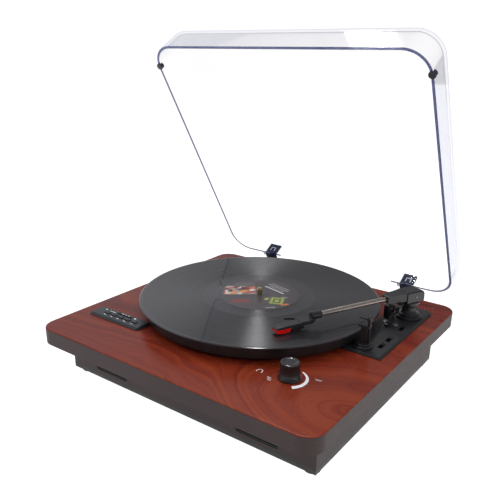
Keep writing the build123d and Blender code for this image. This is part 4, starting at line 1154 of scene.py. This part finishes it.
@dataclass
class Controls:
    """Control panel, its buttons and sockets, the volume knob and the printed marks.

    Sizes are in millimetres and degrees. The knob's cap is radii with how far each is below the
    top. A mark beside the knob is its place from the knob, its length and width, and its turn in
    radians.
    """

    knob_gap: float = 0.4
    grip_r: float = 10.0
    skirt_edge: tuple[tuple[float, float], ...] = ((-0.4, 0.0), (0.0, 0.35), (0.0, 1.0))
    side_steps: int = 26
    side_ends: tuple[float, float] = (1.3, 1.0)
    flare_power: float = 2.6
    cap: tuple[tuple[float, float], ...] = ((9.85, 0.55), (9.6, 0.15), (9.1, 0.0), (8.5, 0.0),
                                            (8.2, 0.25), (7.9, 0.4), (4.0, 0.45), (0.0, 0.45))
    ribs: int = 60
    rib_steps: int = 8
    rib_depth: float = 0.22
    rib_power: float = 1.5
    rib_from: tuple[float, float] = (5.2, 1.2)
    rib_to: tuple[float, float] = (0.2, 0.5)
    rib_inner: float = 9.0
    ink: Ink = Ink("white_ink", (0.92, 0.92, 0.95))
    crescent: tuple[float, float] = (76.0, -47.0)
    crescent_steps: int = 48
    crescent_r: float = 20.7
    crescent_width: tuple[float, float, float] = (0.9, 3.9, 0.6)
    crescent_off: tuple[float, float] = (-1.1, -0.7)
    phones: tuple[float, float] = (82.0, -5.5)
    band_r: tuple[float, float] = (2.5, 3.2)
    band_arc: tuple[float, float] = (-15.0, 195.0)
    band_steps: int = 20
    ear: tuple[float, float, float, float] = (2.9, -1.6, 1.3, 2.6)
    beside_knob: tuple[tuple[float, float, float, float, float], ...] = (
        (-17.5, -11.0, 5.0, 0.55, 0.0), (-15.8, -13.3, 6.2, 0.55, 0.0), (-14.6, -15.6, 4.2, 0.55, 0.0),
        (25.0, 15.0, 8.5, 0.5, 0.1), (25.6, 13.4, 6.0, 0.4, 0.1))
    button_marks: tuple[float, ...] = (-148.8, -137.3, -126.1, -114.5, -102.3)
    button_mark: tuple[float, float, float] = (6.6, 3.4, 1.0)
    lamp_mark: tuple[float, float, float, float] = (13.0, 6.4, 3.6, 1.5)
    words: tuple[float, ...] = (4.6, 3.0, 4.2)
    words_at: tuple[float, float, float, float] = (-131.0, 5.2, 4.2, 0.9)
    tongue: tuple[tuple[float, float, float], ...] = ((1.0, -0.2, 1.2), (-1.0, 1.2, -1.0))
    contact: tuple[tuple[float, float, float], ...] = ((-0.45, -0.42, 1.4), (0.45, -0.25, -1.3))
    contact_pitch: float = 2.2
    contacts: int = 4

    def dress(self) -> None:
        """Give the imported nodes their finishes."""
        deck = Plastic("deck_plastic", (0.022, 0.024, 0.029), 0.36, 0.015, 2.0, 0.5)
        paint("control_panel", deck.material())
        button = Plastic("button_plastic", (0.008, 0.008, 0.009), 0.28).material()
        for index in range(1, 6):
            paint(f"panel_button_{index}", button)
        paint("status_led", Lamp().material())

    def knob(self) -> None:
        """Make the knob: flared glossy skirt, fine ribs and a dished top.

        Its radius is the profile's, less a rib's depth times the raised cosine of the ribs' count
        times the angle, faded in and out up the side.
        """
        low, high, centre = span("volume_knob")
        base = span("top_board")[1].z / MM + self.knob_gap
        top, skirt = high.z / MM, (high.x - low.x) / 2 / MM
        side = np.linspace(0.0, 1.0, self.side_steps)
        flare = self.grip_r + (skirt - self.grip_r) * (1 - side) ** self.flare_power
        start, stop = base + self.side_ends[0], top - self.side_ends[1]
        heights = start + side * (stop - start)
        foot = [(0.0, base)] + [(skirt + out, base + up) for out, up in self.skirt_edge]
        cap = [(radius, top - down) for radius, down in self.cap]
        profile = np.array(foot + list(zip(flare[1:], heights[1:])) + cap)
        radius, height = profile.T
        rise = np.clip((height - base - self.rib_from[0]) / self.rib_from[1], 0, 1)
        fall = np.clip((top - self.rib_to[0] - height) / self.rib_to[1], 0, 1)
        fade = (rise * fall * (radius > self.rib_inner))[:, None]
        angle = np.linspace(0.0, 2 * np.pi, self.ribs * self.rib_steps, endpoint=False)
        wave = (0.5 + 0.5 * np.cos(self.ribs * angle)) ** self.rib_power
        skin = Plastic("knob_plastic", (0.011, 0.011, 0.012), 0.24, 0.006, 2.0, 0.3, 0.35).material()
        shell = lathe(profile * MM, Vector((centre.x, centre.y, 0.0)), len(angle), False,
                      -self.rib_depth * fade * wave * MM)
        made = shell.piece("grip_knob", skin, Body.KNOB, "knob_black")
        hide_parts("volume_knob")

    def board_marks(self) -> list[Shell]:
        """Lay out the volume crescent, the headphone glyph and the marks beside the knob.

        The crescent's width grows with a power of the share of its length.

        Returns:
            Their shells.
        """
        knob, z = span("volume_knob")[2], span("top_board")[1].z + PROUD
        share = np.linspace(0.0, 1.0, self.crescent_steps)
        angles = np.radians(self.crescent[0] + (self.crescent[1] - self.crescent[0]) * share)
        least, growth, power = self.crescent_width
        outer = np.full(self.crescent_steps, self.crescent_r * MM)
        middle = Vector((knob.x + self.crescent_off[0] * MM, knob.y + self.crescent_off[1] * MM, z))
        shells = [arc_band(middle, outer - (least + growth * share**power) * MM, outer, angles)]
        phones = Vector((self.phones[0] * MM, knob.y + self.phones[1] * MM, z))
        arch = np.radians(np.linspace(*self.band_arc, self.band_steps))
        inner, outer = (np.full(self.band_steps, radius * MM) for radius in self.band_r)
        shells.append(arc_band(phones, inner, outer, arch))
        out, down, width, depth = (value * MM for value in self.ear)
        for side in (-1, 1):
            shells.append(dash(phones.x + side * out, phones.y + down, z, width, depth))
        for dx, dy, length, width, turn in self.beside_knob:
            shells.append(dash(knob.x + dx * MM, knob.y + dy * MM, z, length * MM, width * MM, turn))
        return shells

    def panel_marks(self) -> list[Shell]:
        """Lay out the dashes by the buttons, the lamp's mark and the row of short bars.

        Returns:
            Their shells.
        """
        low, high, _centre = span("control_panel")
        z = high.z + PROUD
        up, width, depth = (value * MM for value in self.button_mark)
        shells = [dash(x * MM, low.y + up, z, width, depth) for x in self.button_marks]
        across, down, width, depth = (value * MM for value in self.lamp_mark)
        shells.append(dash(low.x + across, high.y - down, z, width, depth))
        start, step, down, depth = (value * MM for value in self.words_at)
        for index, width in enumerate(self.words):
            shells.append(dash(start + step * index, high.y - down, z, width * MM, depth))
        return shells

    def marks(self) -> None:
        """Print the marks on the board and on the panel."""
        ink = self.ink.material()
        Shell.joined(self.board_marks()).piece("board_print", ink, Body.PLINTH, "lamp")
        Shell.joined(self.panel_marks()).piece("panel_print", ink, Body.PLINTH, "lamp")

    def sockets(self) -> None:
        """Make the tongue with its contacts in the memory-stick socket."""
        low, high, centre = span("usb_socket")
        near, far = (Vector(offset) * MM for offset in self.tongue)
        tongue = self.bar(Vector((low.x, centre.y, low.z)) + near,
                          Vector((high.x, centre.y, high.z)) + far)
        white = Plastic("tongue_plastic", (0.60, 0.60, 0.58), 0.4).material()
        tongue.piece("usb_tongue", white, Body.PLINTH, "component_black", False)
        near, far = (Vector(offset) * MM for offset in self.contact)
        strips = []
        for index in range(self.contacts):
            x = centre.x + (index - (self.contacts - 1) / 2) * self.contact_pitch * MM
            strips.append(self.bar(Vector((x, centre.y, low.z)) + near,
                                   Vector((x, centre.y, high.z)) + far))
        gold = Metal("contact_gold", (0.75, 0.58, 0.25), 0.25).material()
        Shell.joined(strips).piece("usb_contacts", gold, Body.PLINTH, "brass", False)

    def bar(self, low: Vector, high: Vector) -> Shell:
        """Closed bar between two corners, as a slab under a small grid.

        Args:
            low: lowest corner, metres.
            high: highest corner, metres.

        Returns:
            The shell.
        """
        x, y = np.meshgrid(np.linspace(low.x, high.x, 3), np.linspace(low.y, high.y, 3), indexing="ij")
        return slab(np.stack([x, y, np.full_like(x, high.z)], axis=-1), high.z - low.z)


@dataclass
class DustCover:
    """Clear cover and its two hinges."""

    mark_half: tuple[float, float] = (3.4 * MM, 3.0 * MM)
    mark_line: float = 1.5 * MM
    mark_up: float = 10.5 * MM
    tongue_half: float = 9.5 * MM
    foot_from_pin: tuple[float, float] = (-16.0 * MM, 12.6 * MM)

    def marks(self) -> None:
        """Mould a pale square arch on the face of each hinge tongue.

        Each arch is drawn flat, stood up by a right angle and tipped back with the open cover,
        both about X. The tongue's foot is turned with it about the hinge pin.
        """
        hinge, open_deg = cover_hinge()
        tip = Matrix.Rotation(math.radians(-open_deg), 3, "X")
        foot = hinge + tip @ Vector((0.0, *self.foot_from_pin))
        spin = np.array(tip @ Matrix.Rotation(math.radians(90.0), 3, "X"))
        half_x, half_y = self.mark_half
        bars = ((-half_x, 0.0, self.mark_line, 2 * half_y + self.mark_line),
                (half_x, 0.0, self.mark_line, 2 * half_y + self.mark_line),
                (0.0, half_y, 2 * half_x, self.mark_line))
        reach = span("hinge_leaves")[1].x - self.tongue_half
        shells = []
        for side in (-1, 1):
            for x, y, width, depth in bars:
                bar = dash(x, y + self.mark_up, PROUD, width, depth)
                bar.points = bar.points @ spin.T + np.array(foot) + np.array((side * reach, 0.0, 0.0))
                shells.append(bar)
        pale = Plastic("mark_plastic", (0.42, 0.45, 0.55), 0.5).material()
        Shell.joined(shells).piece("hinge_marks", pale, Body.COVER, "hinge_black")

    def dress(self) -> None:
        """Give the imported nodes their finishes."""
        paint("dust_cover", ClearShell(*cover_hinge()).material())
        black = Plastic("hinge_plastic", (0.020, 0.028, 0.052), 0.62, 0.012, 2.0, 0.4,
                        specular=0.12).material()
        for node in ("hinge_bases", "hinge_leaves"):
            paint(node, black)


# --- Stage -----------------------------------------------------------------------------------


@dataclass(frozen=True)
class Softbox:
    """Rectangular area light over the object: sizes in metres, power in watts.

    It faces the upright axis at the height aim_z. Glossy finishes show it where it is mirrored,
    and matt ones where it is scattered.
    """

    name: str
    place: tuple[float, float, float]
    aim_z: float
    size: tuple[float, float]
    power: float
    mirrored: bool = False
    scattered: bool = True

    def add(self) -> None:
        """Add the light to the scene."""
        data = bpy.data.lights.new(self.name, "AREA")
        data.shape, data.energy = "RECTANGLE", self.power
        data.size, data.size_y = self.size
        made = bpy.data.objects.new(self.name, data)
        bpy.context.scene.collection.objects.link(made)
        made.location = self.place
        made.visible_glossy, made.visible_diffuse = self.mirrored, self.scattered
        made.rotation_mode = "QUATERNION"
        way = Vector((0.0, 0.0, self.aim_z)) - Vector(self.place)
        made.rotation_quaternion = way.to_track_quat("-Z", "Y")


@dataclass
class Studio:
    """Pale floor, soft lights, white surroundings and the camera.

    The surroundings grow brighter between the first two values of window along X, from the third
    strength to the fourth.
    """

    eye: tuple[float, float, float] = (0.3917, -0.5851, 0.3765)
    yaw: float = 36.45
    pitch: float = 21.29
    roll: float = 0.66
    lens: float = 43.12
    shift: tuple[float, float] = (0.01845, 0.0714)
    sensor: float = 36.0
    clip: tuple[float, float] = (0.01, 50.0)
    window: tuple[float, float, float, float] = (-0.40, -0.70, 0.26, 0.66)
    floor_half: float = 8.0
    floor_glow: float = 1.45
    glow_share: float = 0.72
    seen_strength: float = 1.05
    lit_colour: Colour = (0.94, 0.95, 1.0)
    lights: tuple[Softbox, ...] = (
        Softbox("overhead", (0.1, -0.1, 1.9), 0.1, (1.8, 1.8), 22.0),
        Softbox("streak", (-0.34, 0.45, 1.45), 0.09, (0.12, 0.5), 10.0, True, False),
        Softbox("left_fill", (-1.4, -0.7, 0.8), 0.1, (0.6, 0.9), 7.0),
        Softbox("right_fill", (1.5, -0.3, 0.7), 0.1, (0.8, 0.8), 5.5))

    def camera(self) -> None:
        """Place the camera: it looks along its yaw from +Y, tipped down, then rolled."""
        yaw, pitch, roll = (math.radians(v) for v in (self.yaw, self.pitch, self.roll))
        forward = Vector((-math.sin(yaw) * math.cos(pitch), math.cos(yaw) * math.cos(pitch),
                          -math.sin(pitch)))
        right = Vector((math.cos(yaw), math.sin(yaw), 0.0))
        up = right.cross(forward)
        turned = right * math.cos(roll) + up * math.sin(roll)
        rolled = up * math.cos(roll) - right * math.sin(roll)
        data = bpy.data.cameras.new("camera")
        data.lens, data.sensor_width = self.lens, self.sensor
        data.shift_x, data.shift_y = self.shift
        data.clip_start, data.clip_end = self.clip
        made = bpy.data.objects.new("camera", data)
        bpy.context.scene.collection.objects.link(made)
        axes = Matrix((turned, rolled, -forward)).transposed().to_4x4()
        made.matrix_world = Matrix.Translation(self.eye) @ axes
        bpy.context.scene.camera = made

    def floor(self) -> None:
        """Add the pale floor: a wide square whose finish is mostly its own white."""
        g = Graph("pale_floor")
        speck = g.noise(g.place(), 0.02, 2.0)
        pale = g.mix(speck, (0.90, 0.90, 0.90), (0.92, 0.92, 0.92))
        matt = g.node("BsdfDiffuse", {"Color": pale}).outputs[0]
        glow = g.node("Emission", {"Color": (1.0, 1.0, 1.0), "Strength": self.floor_glow}).outputs[0]
        mixed = g.node("MixShader", {0: self.glow_share, 1: matt, 2: glow}).outputs[0]
        half = self.floor_half
        top = np.array([[(-half, -half, 0.0), (-half, half, 0.0)], [(half, -half, 0.0), (half, half, 0.0)]])
        mesh = bpy.data.meshes.new("floor")
        mesh.from_pydata(top.reshape(-1, 3).tolist(), [], [(0, 2, 3, 1)])
        mesh.materials.append(g.finish(mixed))
        made = bpy.data.objects.new("floor", mesh)
        bpy.context.scene.collection.objects.link(made)
        made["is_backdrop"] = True

    def world(self) -> None:
        """Give the surroundings: white where they are seen, and lighting more from the left side."""
        world = bpy.data.worlds.new("surroundings")
        bpy.context.scene.world = world
        world.use_nodes = True
        tree = world.node_tree
        tree.nodes.clear()
        seen, lit = tree.nodes.new("ShaderNodeBackground"), tree.nodes.new("ShaderNodeBackground")
        seen.inputs["Strength"].default_value = self.seen_strength
        seen.inputs["Color"].default_value = (1.0, 1.0, 1.0, 1.0)
        lit.inputs["Color"].default_value = (*self.lit_colour, 1.0)
        coords, split = tree.nodes.new("ShaderNodeTexCoord"), tree.nodes.new("ShaderNodeSeparateXYZ")
        glow = tree.nodes.new("ShaderNodeMapRange")
        glow.interpolation_type = "SMOOTHSTEP"
        for socket, value in zip(("From Min", "From Max", "To Min", "To Max"), self.window):
            glow.inputs[socket].default_value = value
        tree.links.new(coords.outputs["Generated"], split.inputs[0])
        tree.links.new(split.outputs["X"], glow.inputs["Value"])
        tree.links.new(glow.outputs[0], lit.inputs["Strength"])
        path, mixed = tree.nodes.new("ShaderNodeLightPath"), tree.nodes.new("ShaderNodeMixShader")
        output = tree.nodes.new("ShaderNodeOutputWorld")
        tree.links.new(path.outputs["Is Camera Ray"], mixed.inputs[0])
        tree.links.new(lit.outputs[0], mixed.inputs[1])
        tree.links.new(seen.outputs[0], mixed.inputs[2])
        tree.links.new(mixed.outputs[0], output.inputs["Surface"])

    def build(self) -> None:
        """Set up the whole studio."""
        self.camera()
        self.world()
        self.floor()
        for light in self.lights:
            light.add()
        scene = bpy.context.scene
        scene.view_settings.view_transform = "Standard"
        scene.view_settings.look = "None"


def corners() -> list[list[float]]:
    """The shown object's lowest and highest corner, as plain lists."""
    return [list(corner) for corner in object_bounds()]


def main() -> None:
    """Build and dress everything."""
    logging.basicConfig(level=logging.INFO, format="%(name)s: %(message)s")
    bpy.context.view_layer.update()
    Studio().build()
    case, deck, arm, controls = Case(), PlatterAndRecord(), Tonearm(), Controls()
    cover = DustCover()
    for assembly in (case, deck, arm, controls, cover):
        assembly.dress()
    case.build()
    deck.build()
    controls.knob()
    controls.marks()
    controls.sockets()
    cover.marks()
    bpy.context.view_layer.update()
    LOG.info("sizes written")


if __name__ == "__main__":
    main()
